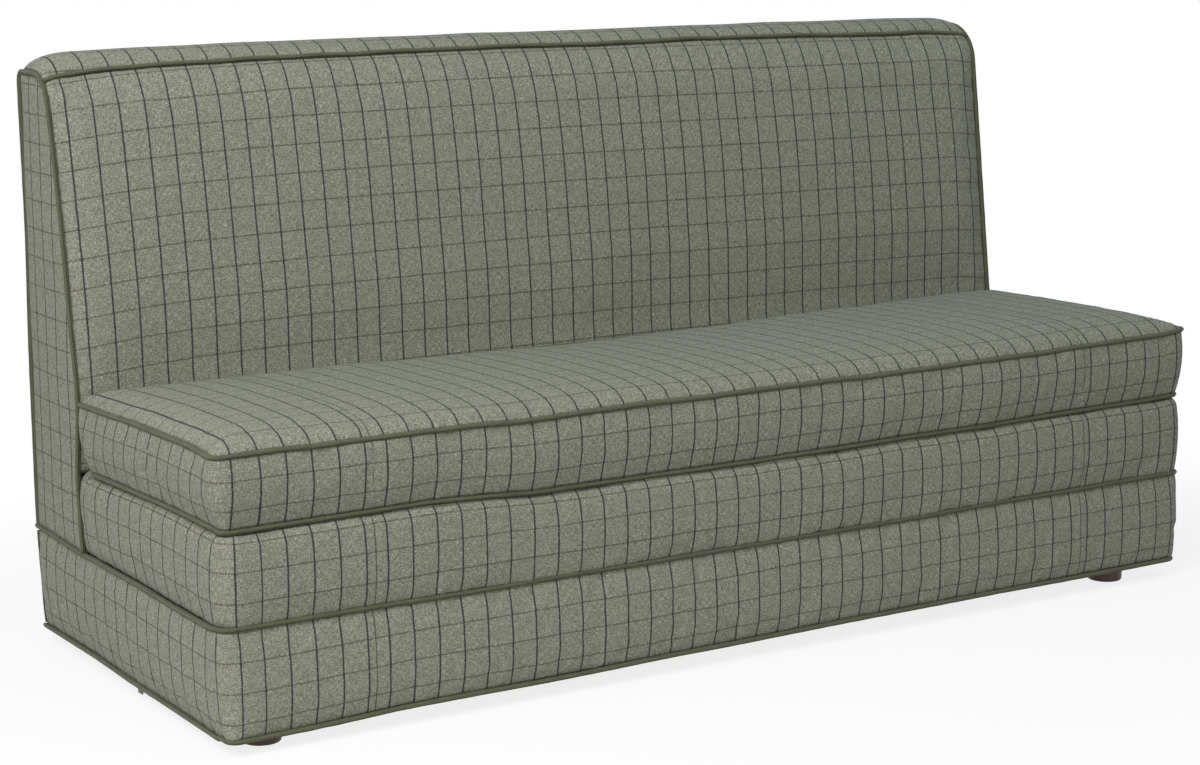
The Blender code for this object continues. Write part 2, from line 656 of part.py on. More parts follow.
# Lid, hinge and struts
def build_hinge(lid_axis):
    """A continuous hinge: two leaves with knuckles in turn on one pin."""
    pitch = HINGE_LENGTH / KNUCKLES
    start = -HINGE_LENGTH / 2
    leaf_top = -KNUCKLE_RADIUS - 2 * KNUCKLE_GAP
    inset_y = KNUCKLE_RADIUS - LEAF_THICK / 2 - GAP / 2
    bore = rod_x("pin_bore", start - pitch, -start + pitch, PIN_Y, PIN_Z, PIN_RADIUS + GAP, STEEL,
                 home=cutters)
    leaves = (("hinge_fixed_leaf", 0, 1, None), ("hinge_moving_leaf", 1, -1, lid_axis))
    for name, first, sign, parent in leaves:
        comb = [(start, leaf_top - LEAF_HEIGHT), (-start, leaf_top - LEAF_HEIGHT), (-start, leaf_top)]
        barrels = bmesh.new()
        turn = Matrix.Rotation(math.pi / 2, 4, "Y")
        for index in reversed(range(first, KNUCKLES, 2)):
            low = start + index * pitch + KNUCKLE_GAP / 2
            high = low + pitch - KNUCKLE_GAP
            comb += [(high, leaf_top), (high, 0), (low, 0), (low, leaf_top)]
            barrel = Matrix.Translation(((low + high) / 2, 0, 0)) @ turn
            bmesh.ops.create_cone(barrels, cap_ends=True, segments=12, radius1=KNUCKLE_RADIUS,
                                  radius2=KNUCKLE_RADIUS, depth=high - low, matrix=barrel)
        comb.append((start, leaf_top))
        outline = [p for i, p in enumerate(comb) if p != comb[i - 1]]
        middle = (0, PIN_Y + sign * inset_y, PIN_Z)
        leaf = as_mesh(plate(name, outline, LEAF_THICK, "XZ", middle, ZINC, parent))
        knuckles = add(f"{name}_knuckles", finish(barrels, name), ZINC, at=(0, PIN_Y, PIN_Z), home=cutters)
        boolean(leaf, "UNION", knuckles)
        boolean(leaf, "DIFFERENCE", bore)
    rod_x("hinge_pin", start, -start, PIN_Y, PIN_Z, PIN_RADIUS, STEEL)


def strut_pivots():
    """The y and z of a strut's pivot on the frame and of its pivot on the lid."""
    return [(PIN_Y - STRUT_REACH * math.cos(angle), PIN_Z - STRUT_REACH * math.sin(angle))
            for angle in (STRUT_FOOT_ANGLE, STRUT_LID_ANGLE)]


def build_strut(side, sign, lid_axis):
    """A gas strut between a bracket on the side panel and a bracket under the lid."""
    foot, head = strut_pivots()
    opening = STRUT_FOOT_ANGLE - STRUT_LID_ANGLE
    closed = 2 * STRUT_REACH * math.sin(opening / 2)
    opened = 2 * STRUT_REACH * math.sin((opening + LID_OPENING) / 2)
    stroke = opened - closed
    lean = math.atan2(foot[0] - head[0], head[1] - foot[1])
    x = sign * (INNER_X - STRUT_INSET)
    foot_axis = empty(f"{side}_strut_foot_axis", (x, *foot), (lean, 0, 0))
    head_axis = empty(f"{side}_strut_head_axis", (x, *head), (lean, 0, 0), lid_axis)

    neck = NECK_RADIUS
    mouth = closed - 2 * EYE_RADIUS
    rod_tip = mouth - stroke - ROD_ENGAGED
    tip = rod_tip - BORE_ROOM
    bore = ROD_RADIUS + ROD_CLEARANCE
    profile = [(0, tip), (bore, tip), (bore, mouth), (STRUT_RADIUS - STRUT_NOSE, mouth),
               (STRUT_RADIUS, mouth - STRUT_NOSE), (STRUT_RADIUS, 2 * EYE_RADIUS),
               (neck, 1.5 * EYE_RADIUS), (neck, 0), (0, 0)]
    cylinder = turned(f"{side}_strut_cylinder", profile, (x, *foot), BLACK, 16, (lean, 0, 0), foot_axis)
    rod_end = rod_tip - closed
    profile = [(0, 0), (neck, 0), (neck, -1.3 * EYE_RADIUS), (ROD_RADIUS, -1.6 * EYE_RADIUS),
               (ROD_RADIUS, rod_end), (0, rod_end)]
    rod = turned(f"{side}_strut_rod", profile, (x, *head), STEEL, 16, (lean, 0, 0), head_axis)
    half = EYE_LENGTH / 2
    through = half + EYE_RADIUS
    stud_hole = STUD_RADIUS + 2 * GAP
    for piece, pivot, end in ((cylinder, foot, "foot"), (rod, head, "head")):
        eye = rod_x(f"{side}_{end}_eye", x - half, x + half, *pivot, EYE_RADIUS, STEEL, 16, cutters)
        hole = rod_x(f"{side}_{end}_hole", x - through, x + through, *pivot, stud_hole, STEEL, 16, cutters)
        boolean(piece, "UNION", eye)
        boolean(piece, "DIFFERENCE", hole)

    wall = sign * (INNER_X - GAP)
    plate_x = sorted((wall, wall - sign * BRACKET))
    spread_half = BRACKET_SIZE / 2
    foot_low = STORAGE_FLOOR + GAP
    bracket = box(f"{side}_strut_foot_bracket", (plate_x[0], foot[0] - spread_half, foot_low),
                  (plate_x[1], foot[0] + spread_half, foot_low + BRACKET_SIZE), ZINC)
    tail = sorted((wall - sign * BRACKET / 2, x - sign * (half + 2 * GAP)))
    stud = rod_x(f"{side}_foot_stud", *tail, *foot, STUD_RADIUS, ZINC, 12, cutters)
    boolean(bracket, "UNION", stud)

    under = DECK - LID_BOARD - GAP
    ear_near = x + sign * (half + STUD_SHOULDER)
    ear_x = sorted((ear_near, ear_near + sign * BRACKET))
    top_x = sorted((ear_near + sign * BRACKET, ear_near + sign * (BRACKET - BRACKET_SIZE)))
    top = box(f"{side}_strut_lid_bracket", (top_x[0], head[0] - spread_half, under - BRACKET),
              (top_x[1], head[0] + spread_half, under), ZINC, lid_axis)
    ear = box(f"{side}_lid_ear", (ear_x[0], head[0] - spread_half / 2, head[1] - EYE_RADIUS),
              (ear_x[1], head[0] + spread_half / 2, under - BRACKET / 2), ZINC, home=cutters)
    tail = sorted((sum(ear_x) / 2, x - sign * (half + 2 * GAP)))
    stud = rod_x(f"{side}_head_stud", *tail, *head, STUD_RADIUS, ZINC, 12, cutters)
    boolean(top, "UNION", ear, stud)


def build_lid(rim):
    """The lid board with its hinge and struts, and a pull tab let into the lid and the rim in front."""
    lid_axis = empty("lid_axis", (0, PIN_Y, PIN_Z))
    front = INNER_FRONT + LID_CLEARANCE
    half = INNER_X - LID_CLEARANCE
    board = box("lid_board", (-half, front, DECK - LID_BOARD), (half, PIN_Y - HINGE_FACE, DECK), PLY,
                lid_axis)
    tab_top = DECK - GAP
    tab_low = tab_top - TAB_THICK
    tab_half = TAB_WIDTH / 2
    tip = front - TAB_REACH
    box("lid_pull_tab", (-tab_half, tip, tab_low), (tab_half, front + TAB_FIXED, tab_top), WEBBING, lid_axis)
    for piece, room in ((board, GAP), (rim, LID_CLEARANCE)):
        recess = box(f"{piece.name}_tab_recess", (-tab_half - room, tip - room, tab_low - GAP),
                     (tab_half + room, front + TAB_FIXED + GAP, DECK + LID_CLEARANCE), WEBBING, home=cutters)
        boolean(piece, "DIFFERENCE", recess)
    build_hinge(lid_axis)
    for side, sign in (("left", -1), ("right", 1)):
        build_strut(side, sign, lid_axis)
    return lid_axis


# Loose seat cushion
def cushion_ring(height, margin, swell=0.0):
    """The cushion's outline at a height between its piping lines, moved in by a margin."""
    share = (height - CUSHION_BOTTOM) / CUSHION_HEIGHT
    share = min(max(share, 0), 1)
    ends = CUSHION_BOTTOM_INSET + (CUSHION_TOP_INSET - CUSHION_BOTTOM_INSET) * share
    half_x = HALF_WIDTH - ends + swell - margin
    front = -HALF_DEPTH + CUSHION_LEAN * share - swell + margin
    low_rear = back_line(CUSHION_BOTTOM) - CUSHION_BOTTOM_GAP
    high_rear = back_line(CUSHION_TOP) - CUSHION_TOP_GAP
    rear = low_rear + (high_rear - low_rear) * share + swell - margin
    radius = max(CUSHION_CORNER - margin, CUSHION_CORNER / 6)
    ring = []
    for sx, sy, start in ((1, 1, 0), (-1, 1, 1), (-1, -1, 2), (1, -1, 3)):
        centre = (sx * (half_x - radius), (rear - radius) if sy > 0 else (front + radius))
        angle = start * math.pi / 2
        ring += arc(centre, radius, angle, angle + math.pi / 2)
        here = ring[-1]
        if start % 2 == 0:
            draw = CUSHION_DRAW_IN * sy
            for t in (-0.75, -0.4, 0, 0.4, 0.75):
                ring.append((-sx * t * half_x, here[1] - draw * (1 - t * t)))
        else:
            middle = (front + rear) / 2
            ring.append((here[0], middle))
    return [(x, y, height) for x, y in ring]


def build_cushion(lid_axis):
    """A box cushion with a crowned top, swelled boxing and piped edges."""
    low, high = CUSHION_BOTTOM, CUSHION_TOP
    drawn = CHAMFER + CUSHION_SEAM
    rings = []
    for margin in (CUSHION_HEART, CUSHION_REST):
        rings.append([(x, y, DECK + GAP) for x, y, _ in cushion_ring(low, margin)])
    rings.append(cushion_ring(low, drawn))
    rings.append(cushion_ring(low + CHAMFER, CUSHION_SEAM))
    for t in (0.3, 0.5, 0.7):
        rings.append(cushion_ring(low + CUSHION_HEIGHT * t, 0, CUSHION_BULGE * math.sin(math.pi * t)))
    rings.append(cushion_ring(high - CHAMFER, CUSHION_SEAM))
    rings.append(cushion_ring(high, drawn))
    for margin in CUSHION_CROWN_STEPS:
        crown = CUSHION_CROWN * edge_rise(margin - drawn, CUSHION_EDGE_ROLL)
        rings.append([(x, y, high + crown) for x, y, _ in cushion_ring(high, margin)])
    slide = empty("cushion_slide", (0, PIN_Y, DECK), parent=lid_axis)
    loft("seat_cushion", rings, CLOTH, slide)
    tube("cushion_bottom_piping", cushion_ring(low, 0), CORD, True, slide)
    tube("cushion_top_piping", cushion_ring(high, 0), CORD, True, slide)


# Feet and the linking bracket
def build_feet():
    """Four turned feet under the floor bearers."""
    top = FRAME_BOTTOM - GAP
    profile = [(0, top), *((FOOT_RADIUS * out, top * up) for out, up in FOOT_PROFILE), (0, 0)]
    left, right = FOOT_INSET_LEFT - HALF_WIDTH, HALF_WIDTH - FOOT_INSET_RIGHT
    front = FOOT_INSET_Y - HALF_DEPTH
    rear = INNER_REAR - GAP - BEARER_WIDTH / 2
    for depth_name, y in (("front", front), ("rear", rear)):
        for side, x in (("left", left), ("right", right)):
            turned(f"{depth_name}_{side}_foot", profile, (x, y, 0), STAINED)


def build_link():
    """A plated tongue under the left side, to hook onto a settee beside it."""
    high = FRAME_BOTTOM - GAP
    outer = -FRAME_X + GAP
    tongue_half = LINK_WIDTH / 2
    plate_low = high - LINK_THICK
    bracket = box("left_link_bracket", (outer, LINK_Y - LINK_PLATE / 2, plate_low),
                  (outer + PANEL, LINK_Y + LINK_PLATE / 2, high), ZINC)
    tongue = box("link_tongue", (outer, LINK_Y - tongue_half, high - LINK_DROP),
                 (outer + LINK_THICK, LINK_Y + tongue_half, plate_low + LINK_THICK / 2), ZINC, home=cutters)
    boolean(bracket, "UNION", tongue)


top_of_posts = build_frame()
front_rim = build_borders()
build_back(top_of_posts)
build_piping()
axis = build_lid(front_rim)
build_cushion(axis)
build_feet()
build_link()
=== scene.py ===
import math

import bmesh
import bpy
import numpy as np
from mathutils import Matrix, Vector


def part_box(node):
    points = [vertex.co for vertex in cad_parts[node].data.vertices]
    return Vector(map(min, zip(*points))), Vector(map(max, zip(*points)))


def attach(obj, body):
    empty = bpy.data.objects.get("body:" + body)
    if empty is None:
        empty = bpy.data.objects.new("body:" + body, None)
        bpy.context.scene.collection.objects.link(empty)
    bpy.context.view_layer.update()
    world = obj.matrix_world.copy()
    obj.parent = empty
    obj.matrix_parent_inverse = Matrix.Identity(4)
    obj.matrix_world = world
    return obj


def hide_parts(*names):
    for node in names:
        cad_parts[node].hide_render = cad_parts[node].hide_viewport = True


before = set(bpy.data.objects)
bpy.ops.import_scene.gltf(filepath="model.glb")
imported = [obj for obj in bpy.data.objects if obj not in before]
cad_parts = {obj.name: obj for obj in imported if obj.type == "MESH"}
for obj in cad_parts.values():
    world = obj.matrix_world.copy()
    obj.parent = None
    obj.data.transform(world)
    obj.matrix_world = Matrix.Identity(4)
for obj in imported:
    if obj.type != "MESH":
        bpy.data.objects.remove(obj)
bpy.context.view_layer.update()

# Sizes of the settee, in metres, on its piping lines
HALF = 0.955                 # half the width
FRONT = -0.362
REAR = 0.362
BASE_LOW, BASE_TOP = 0.028, 0.196
DECK = 0.340
LEAN = math.radians(7.83)    # recline of the back
FOOT_Y = 0.142               # back's front line where it leaves the base
ROLL = 0.088                 # radius of the rolled top
END_ROLL = {-1: 0.055, 1: 0.074}   # and at its left and right ends
ROLL_Z = 0.901
OUTSIDE_TOP = 0.941
CUSHION_LOW, CUSHION_HIGH = 0.3432, 0.4496
CUSHION_MIDDLE = 0.004       # how far the cushion lies to the right
CUSHION_DROP = 0.008         # how far the cushion's boxing hangs below its lower line
PIPE = 0.0041
BASE_CORNER = 0.018
BASE_REAR_CORNER = 0.008
BASE_TAPER = 0.0075          # how much narrower the base is at its bottom, at each end
BASE_KICK, BASE_DRAW = 0.0045, 0.002   # how far its front stands out at the bottom and in at the top
BASE_REAR = 0.34             # behind this the base's sewn lines go level
CUSHION_REAR = 0.12          # and here the cushion's upper one
SEAT_CORNER, SEAT_EDGE, SEAT_MIDDLE = 0.032, 0.026, 0.003
SEAT_REAR = 0.150
OPEN_END = 1.0               # farther back than any sewn line reaches

# The check: stripe pitch along the settee and line pitch up it, and the cloth joins
PITCH_U, PITCH_V = 0.0428, 0.0460
SIDE_PITCH = 0.0415
BACK_PITCH_V, BACK_SIDE_PITCH_V = 0.0472, 0.0464
BOX_PITCH_U, BOX_PITCH_V = 0.0413, 0.0445
JOIN = 0.708
BACK_JOINS = (-0.694, 0.735)
FAINT_JOIN = 0.0009          # pales the cloth join on the back

# Places where a line or stripe of the check lies
BASE_LINE, SEAT_LINE, BOX_LINE = 0.103, 0.235, 0.369
BACK_LINE, BACK_SIDE_LINE, BACK_SIDE_STRIPE = 0.546, 0.241, 0.154
CUSHION_CROSS_LINE = -0.322
BACK_STRIPE = 0.026

GROOVES = (5.66, 1.52)       # angles of the sewn lines round a cord; the dark lines drawn there are partly painted shade
CORD_STEP = 0.007            # spacing of the rings of a cord


def ripple(a, b, size, seed):
    """A gentle, repeatable unevenness over two lengths, about -1 to 1."""
    rng = np.random.default_rng(seed)
    total = 0
    for _ in range(7):
        way, phase, scale = rng.uniform(0, math.tau), rng.uniform(0, math.tau), rng.uniform(0.65, 1.5)
        total = total + np.sin((a * math.cos(way) + b * math.sin(way)) * math.tau * scale / size + phase)
    return total / 3.2


def steps(low, high, pitch, edge=0.0, extra=()):
    """Values from low to high about a pitch apart, closer near both ends, with extra values kept."""
    fine = [edge * f for f in (0, 0.08, 0.2, 0.36, 0.58, 0.8)] if edge else [0]
    count = max(2, int(round((high - low - 2 * edge) / pitch)) + 1)
    values = [low + f for f in fine] + list(np.linspace(low + edge, high - edge, count))
    values += [high - f for f in fine]
    values = [v for v in values if all(abs(v - e) > 0.002 for e in extra)] + list(extra)
    return np.array(sorted(set(np.round(values, 6))))


def tuck(distance, depth=0.0060, length=0.0035):
    """How far cloth is drawn in beside a seam."""
    return depth * np.exp(-np.maximum(distance, 0) / length)


def fade(distance, length):
    """0 at a seam, rising to 1 away from it."""
    return 1 - np.exp(-distance / length)


def part_of(distance, whole):
    """A distance as a share of a whole, kept from 0 to 1."""
    return np.clip(distance / whole, 0, 1)


def smooth(share):
    """A share of 0 to 1 with level ends."""
    return share * share * (3 - 2 * share)


def along(table, at):
    """The value of a table of places and values at a place."""
    return np.interp(at, *zip(*table))


# Materials
class Tree:
    """The node tree of a material or a world, with short ways to add nodes to it."""

    def __init__(self, owner):
        owner.use_nodes = True
        self.owner = owner
        self.nodes, self.links = owner.node_tree.nodes, owner.node_tree.links

    def put(self, socket, value):
        if isinstance(value, bpy.types.NodeSocket):
            self.links.new(value, socket)
        else:
            socket.default_value = value

    def node(self, kind, settings=None, out=0, **inputs):
        """Add a node and give one of its outputs; an input goes by its name, or by its number as i0, i1..."""
        made = self.nodes.new(kind)
        for key, value in (settings or {}).items():
            setattr(made, key, value)
        for key, value in inputs.items():
            numbered = key[0] == "i" and key[1:].isdigit()
            self.put(made.inputs[int(key[1:]) if numbered else key], value)
        return made.outputs[out]

    def calc(self, operation, a, b=0.0):
        return self.node("ShaderNodeMath", {"operation": operation}, i0=a, i1=b)

    def add(self, a, b):
        return self.calc("ADD", a, b)

    def less(self, a, b):
        return self.calc("SUBTRACT", a, b)

    def times(self, a, b):
        return self.calc("MULTIPLY", a, b)

    def size(self, value):
        return self.calc("ABSOLUTE", value)

    def wave(self, value, rate):
        """A sine of a value times a rate."""
        return self.calc("SINE", self.times(value, rate))

    def about(self, value, size):
        """A value of 0 to 1 as an offset to both sides of nought."""
        return self.times(self.less(value, 0.5), size)

    def ramp(self, value, low, high, to_low=0.0, to_high=1.0):
        return self.node("ShaderNodeMapRange", {"interpolation_type": "SMOOTHSTEP"}, i0=value, i1=low,
                         i2=high, i3=to_low, i4=to_high)

    def mix(self, share, a, b, kind="MIX"):
        return self.node("ShaderNodeMix", {"data_type": "RGBA", "blend_type": kind}, 2, i0=share, i6=a, i7=b)

    def tint(self, colour, level):
        """A colour made lighter or darker by a level."""
        grey = self.node("ShaderNodeCombineColor", i0=level, i1=level, i2=level)
        return self.mix(1.0, colour, grey, "MULTIPLY")

    def colours(self, value, *stops):
        """Colours along a value, from its lowest and highest stop and those between."""
        made = self.node("ShaderNodeValToRGB", Fac=value)
        elements = made.node.color_ramp.elements
        for element, (place, colour) in zip(elements, stops):
            element.position, element.color = place, colour
        for place, colour in stops[2:]:
            elements.new(place).color = colour
        return made

    def noise(self, vector, scale, detail=2.0, rough=0.5):
        return self.node("ShaderNodeTexNoise", Vector=vector, Scale=scale, Detail=detail, Roughness=rough)

    def stretch(self, vector, x, y, z):
        return self.node("ShaderNodeVectorMath", {"operation": "MULTIPLY"}, i0=vector, i1=(x, y, z))

    def bump(self, height, distance, strength):
        return self.node("ShaderNodeBump", Height=height, Distance=distance, Strength=strength)

    def split(self, vector):
        """The x, y and z of a vector."""
        return self.node("ShaderNodeSeparateXYZ", Vector=vector).node.outputs

    def place(self):
        return self.node("ShaderNodeTexCoord", out="Object")

    def length_at(self, name):
        """The size of a length that is stored at the points of a mesh."""
        return self.node("ShaderNodeAttribute", {"attribute_name": name}, "Fac")

    def seen(self):
        """1 where the camera sees a surface, directly, in a mirror or through glass."""
        path = self.node("ShaderNodeLightPath").node.outputs
        direct = self.calc("MAXIMUM", path["Is Camera Ray"], path["Is Glossy Ray"])
        return self.calc("MAXIMUM", direct, path["Is Transmission Ray"])

    def finish(self, inputs):
        """Set the inputs of the material's own shader and give the material."""
        for name, value in inputs.items():
            self.put(self.nodes["Principled BSDF"].inputs[name], value)
        return self.owner


def new_material(name):
    return Tree(bpy.data.materials.new(name))


def rgb(r, g, b):
    """A colour as it looks on screen, 0 to 255, in linear values."""
    return tuple(((c / 255 + 0.055) / 1.055) ** 2.4 if c > 10 else c / 3294.6 for c in (r, g, b)) + (1.0,)


def make_tweed():
    """Mottled wool tweed with a windowpane check, drawn in UVs that count checks."""
    tree = new_material("check_tweed_cloth")
    uv = tree.node("ShaderNodeUVMap", {"uv_map": "check"})
    u, v, _ = tree.split(uv)
    flat = tree.stretch(uv, PITCH_U, PITCH_V, 1.0)
    fuzz = tree.about(tree.noise(flat, 520.0, 2.0, 0.6), 0.0014)
    drift = tree.about(tree.noise(flat, 28.0, 1.0), 0.0012)

    def line_at(value, pitch, full, none):
        off = tree.less(tree.calc("FRACT", tree.add(value, 0.5)), 0.5)
        off = tree.size(tree.add(tree.times(off, pitch), drift))
        return tree.ramp(tree.add(off, fuzz), full, none, 1.0, 0.0)

    stripe = line_at(u, PITCH_U, 0.0008, 0.0021)
    line = line_at(v, PITCH_V, 0.0005, 0.0019)
    broken = tree.ramp(tree.noise(tree.stretch(flat, 1.0, 0.25, 1.0), 330.0, 2.0, 0.6), 0.36, 0.60, 0.45, 1.0)
    line = tree.times(line, broken)

    warp = tree.noise(tree.stretch(flat, 1.0, 0.22, 1.0), 700.0, 2.0, 0.65)
    weft = tree.noise(tree.stretch(flat, 0.22, 1.0, 1.0), 700.0, 2.0, 0.65)
    grain = tree.noise(flat, 560.0, 3.0, 0.75)
    yarn = tree.add(tree.times(tree.add(warp, weft), 0.32), tree.times(grain, 0.36))
    cloth = tree.colours(yarn, (0.35, rgb(68, 72, 62)), (0.65, rgb(194, 192, 171)),
                         (0.46, rgb(110, 112, 100)), (0.54, rgb(140, 141, 125)))
    fleck = tree.ramp(tree.noise(flat, 360.0, 2.0, 0.7), 0.61, 0.70, 0.0, 0.55)
    cloth = tree.mix(fleck, cloth, rgb(170, 158, 133))
    cool = tree.ramp(tree.noise(flat, 270.0, 2.0, 0.7), 0.58, 0.72, 0.0, 0.4)
    cloth = tree.mix(cool, cloth, rgb(92, 106, 104))
    cloth = tree.tint(cloth, tree.ramp(tree.noise(flat, 75.0, 3.0, 0.6), 0.3, 0.7, 0.90, 1.09))
    inked = tree.times(stripe, tree.ramp(yarn, 0.40, 0.60, 1.0, 0.84))
    cloth = tree.mix(tree.times(line, 0.80), cloth, rgb(68, 60, 55))
    cloth = tree.mix(inked, cloth, rgb(34, 43, 52))
    seam = tree.ramp(tree.size(tree.length_at("join")), 0.0005, 0.0015, 1.0, 0.0)
    cloth = tree.mix(tree.times(seam, 0.72), cloth, rgb(50, 52, 45))
    # Painted shade: the cloth is darkened within a few millimetres of the lengths stored as edge, beside the
    # piping and under the cushion's bottom cord, where shadow falls.
    crease = tree.ramp(tree.add(tree.length_at("edge"), fuzz), 0.0034, 0.0052, 0.60, 0.0)
    cloth = tree.mix(crease, cloth, rgb(38, 41, 33))
    flat_x, flat_y, _ = tree.split(flat)
    twill = tree.wave(tree.add(flat_x, flat_y), 2800.0)
    height = tree.add(tree.times(yarn, 1.6), tree.times(twill, 0.12))
    height = tree.less(height, tree.times(seam, 0.8))
    return tree.finish({"Base Color": cloth, "Roughness": 0.93, "Specular IOR Level": 0.18,
                        "Sheen Weight": 0.05, "Sheen Roughness": 0.45, "Sheen Tint": (0.55, 0.85, 1.0, 1.0),
                        "Normal": tree.bump(height, 0.0009, 0.55)})


def make_cord():
    """Olive piping cloth cut on the bias."""
    tree = new_material("piping_olive_cloth")
    uv = tree.node("ShaderNodeUVMap", {"uv_map": "check"})
    length, round_it, _ = tree.split(uv)
    slant = tree.wave(tree.add(length, round_it), 3600.0)
    across = tree.wave(tree.less(length, round_it), 3600.0)
    weave = tree.times(slant, across)
    spots = tree.noise(uv, 700.0, 3.0, 0.65)
    tone = tree.add(spots, tree.times(weave, 0.05))
    shade = tree.colours(tone, (0.30, rgb(52, 55, 37)), (0.72, rgb(106, 108, 82)))
    shade = tree.tint(shade, tree.ramp(tree.noise(uv, 22.0, 2.0, 0.6), 0.3, 0.7, 0.88, 1.10))
    # Dark lines at the sewn grooves: partly the stitch line, partly painted shade on the cord's lower side
    # and in the crevice above it.
    for centre in GROOVES:
        off = tree.size(tree.less(round_it, centre * PIPE))
        off = tree.add(off, tree.times(spots, 0.0004))
        shade = tree.mix(tree.ramp(off, 0.0003, 0.0014, 0.85, 0.0), shade, rgb(22, 23, 14))
    crease = tree.noise(tree.stretch(uv, 1.0, 0.3, 1.0), 160.0, 2.0, 0.6)
    height = tree.add(tree.times(weave, 0.35), tree.times(crease, 1.4))
    return tree.finish({"Base Color": shade, "Roughness": 0.82, "Specular IOR Level": 0.25,
                        "Sheen Weight": 0.1, "Normal": tree.bump(height, 0.0006, 0.5)})


def make_plywood(name, axis):
    """Birch plywood: a rotary-cut face, and plies on the edges across the board's thin axis."""
    tree = new_material(name)
    place = tree.place()
    thin = "xyz".index(axis)
    scales = (14.0, 1.6, 14.0) if axis == "x" else (1.6, 14.0, 14.0)
    grain = tree.noise(tree.stretch(place, *scales), 9.0, 5.0, 0.62)
    pores = tree.noise(tree.stretch(place, *(8 * s for s in scales)), 11.0, 2.0, 0.5)
    face = tree.mix(tree.ramp(grain, 0.32, 0.70), rgb(196, 160, 116), rgb(226, 196, 152))
    face = tree.mix(tree.ramp(pores, 0.60, 0.75, 0.0, 0.35), face, rgb(150, 112, 76))
    layer = tree.wave(tree.split(place)[thin], math.tau / 0.0030)
    edge = tree.mix(tree.ramp(layer, -0.3, 0.3), rgb(150, 108, 70), rgb(214, 178, 130))
    edge = tree.mix(tree.ramp(tree.noise(place, 240.0, 2.0), 0.45, 0.75, 0.0, 0.4), edge, rgb(118, 82, 52))
    facing = tree.node("ShaderNodeNewGeometry", out="True Normal")
    turned = {"vector_type": "NORMAL", "convert_from": "WORLD", "convert_to": "OBJECT"}
    facing = tree.node("ShaderNodeVectorTransform", turned, Vector=facing)
    flat = tree.size(tree.split(facing)[thin])
    return tree.finish({"Base Color": tree.mix(tree.ramp(flat, 0.4, 0.6), edge, face),
                        "Roughness": tree.ramp(grain, 0.3, 0.7, 0.50, 0.68),
                        "Normal": tree.bump(pores, 0.0004, 0.35)})


def make_wood(name, dark, light, pore, scales, rough, coat=0.0):
    """Sawn wood with grain stretched along one axis."""
    tree = new_material(name)
    place = tree.place()
    grain = tree.noise(tree.stretch(place, *scales), 4.0, 6.0, 0.6)
    colour = tree.mix(tree.ramp(tree.wave(grain, 46.0), -0.8, 0.9), dark, light)
    fine = tree.noise(tree.stretch(place, *(6 * s for s in scales)), 6.0, 3.0, 0.6)
    colour = tree.mix(tree.ramp(fine, 0.56, 0.74, 0.0, 0.5), colour, pore)
    return tree.finish({"Base Color": colour, "Coat Weight": coat, "Coat Roughness": 0.35,
                        "Roughness": tree.ramp(fine, 0.3, 0.7, rough - 0.06, rough + 0.08),
                        "Normal": tree.bump(fine, 0.0003, 0.3)})


def make_metal(name, dark, light, metallic, rough, scale):
    """Plated, ground or painted metal with fine spangle and scuffs."""
    tree = new_material(name)
    place = tree.place()
    spangle = tree.noise(place, scale, 3.0, 0.6)
    scuff = tree.noise(tree.stretch(place, 1.0, 6.0, 1.0), scale * 2.5, 2.0, 0.7)
    return tree.finish({"Base Color": tree.mix(tree.ramp(spangle, 0.35, 0.65), dark, light),
                        "Metallic": metallic,
                        "Roughness": tree.ramp(scuff, 0.3, 0.75, rough - 0.05, rough + 0.15),
                        "Normal": tree.bump(scuff, 0.0002, 0.12)})


def make_woven(name, dark, light, thread):
    """A plain cloth of crossing threads, for webbing and lining."""
    tree = new_material(name)
    place = tree.place()
    x, y, _ = tree.split(place)
    weave = tree.times(tree.wave(x, math.tau / thread), tree.wave(y, math.tau / thread))
    woven = tree.add(weave, tree.noise(place, 900.0, 2.0, 0.6))
    return tree.finish({"Base Color": tree.mix(tree.ramp(woven, -0.4, 1.4), dark, light), "Roughness": 0.9,
                        "Specular IOR Level": 0.2, "Normal": tree.bump(woven, 0.0004, 0.5)})


TWEED = make_tweed()
CORD = make_cord()


# Meshes
def mesh_object(name, verts, faces, uvs, mat):
    """A smooth mesh with one UV for each face corner."""
    mesh = bpy.data.meshes.new(name)
    mesh.from_pydata([tuple(v) for v in verts], [], [tuple(f) for f in faces])
    layer = mesh.uv_layers.new(name="check")
    layer.data.foreach_set("uv", np.asarray(uvs, np.float32).ravel())
    mesh.polygons.foreach_set("use_smooth", [True] * len(mesh.polygons))
    mesh.materials.append(mat)
    mesh.update()
    obj = bpy.data.objects.new(name, mesh)
    bpy.context.scene.collection.objects.link(obj)
    return obj


# How the cloth of a padded cover behaves in the simulation
CLOTH = {"quality": 6, "mass": 0.25, "tension_stiffness": 25, "compression_stiffness": 18,
         "shear_stiffness": 6, "bending_stiffness": 0.9, "air_damping": 4, "use_pressure": True,
         "vertex_group_mass": "held"}


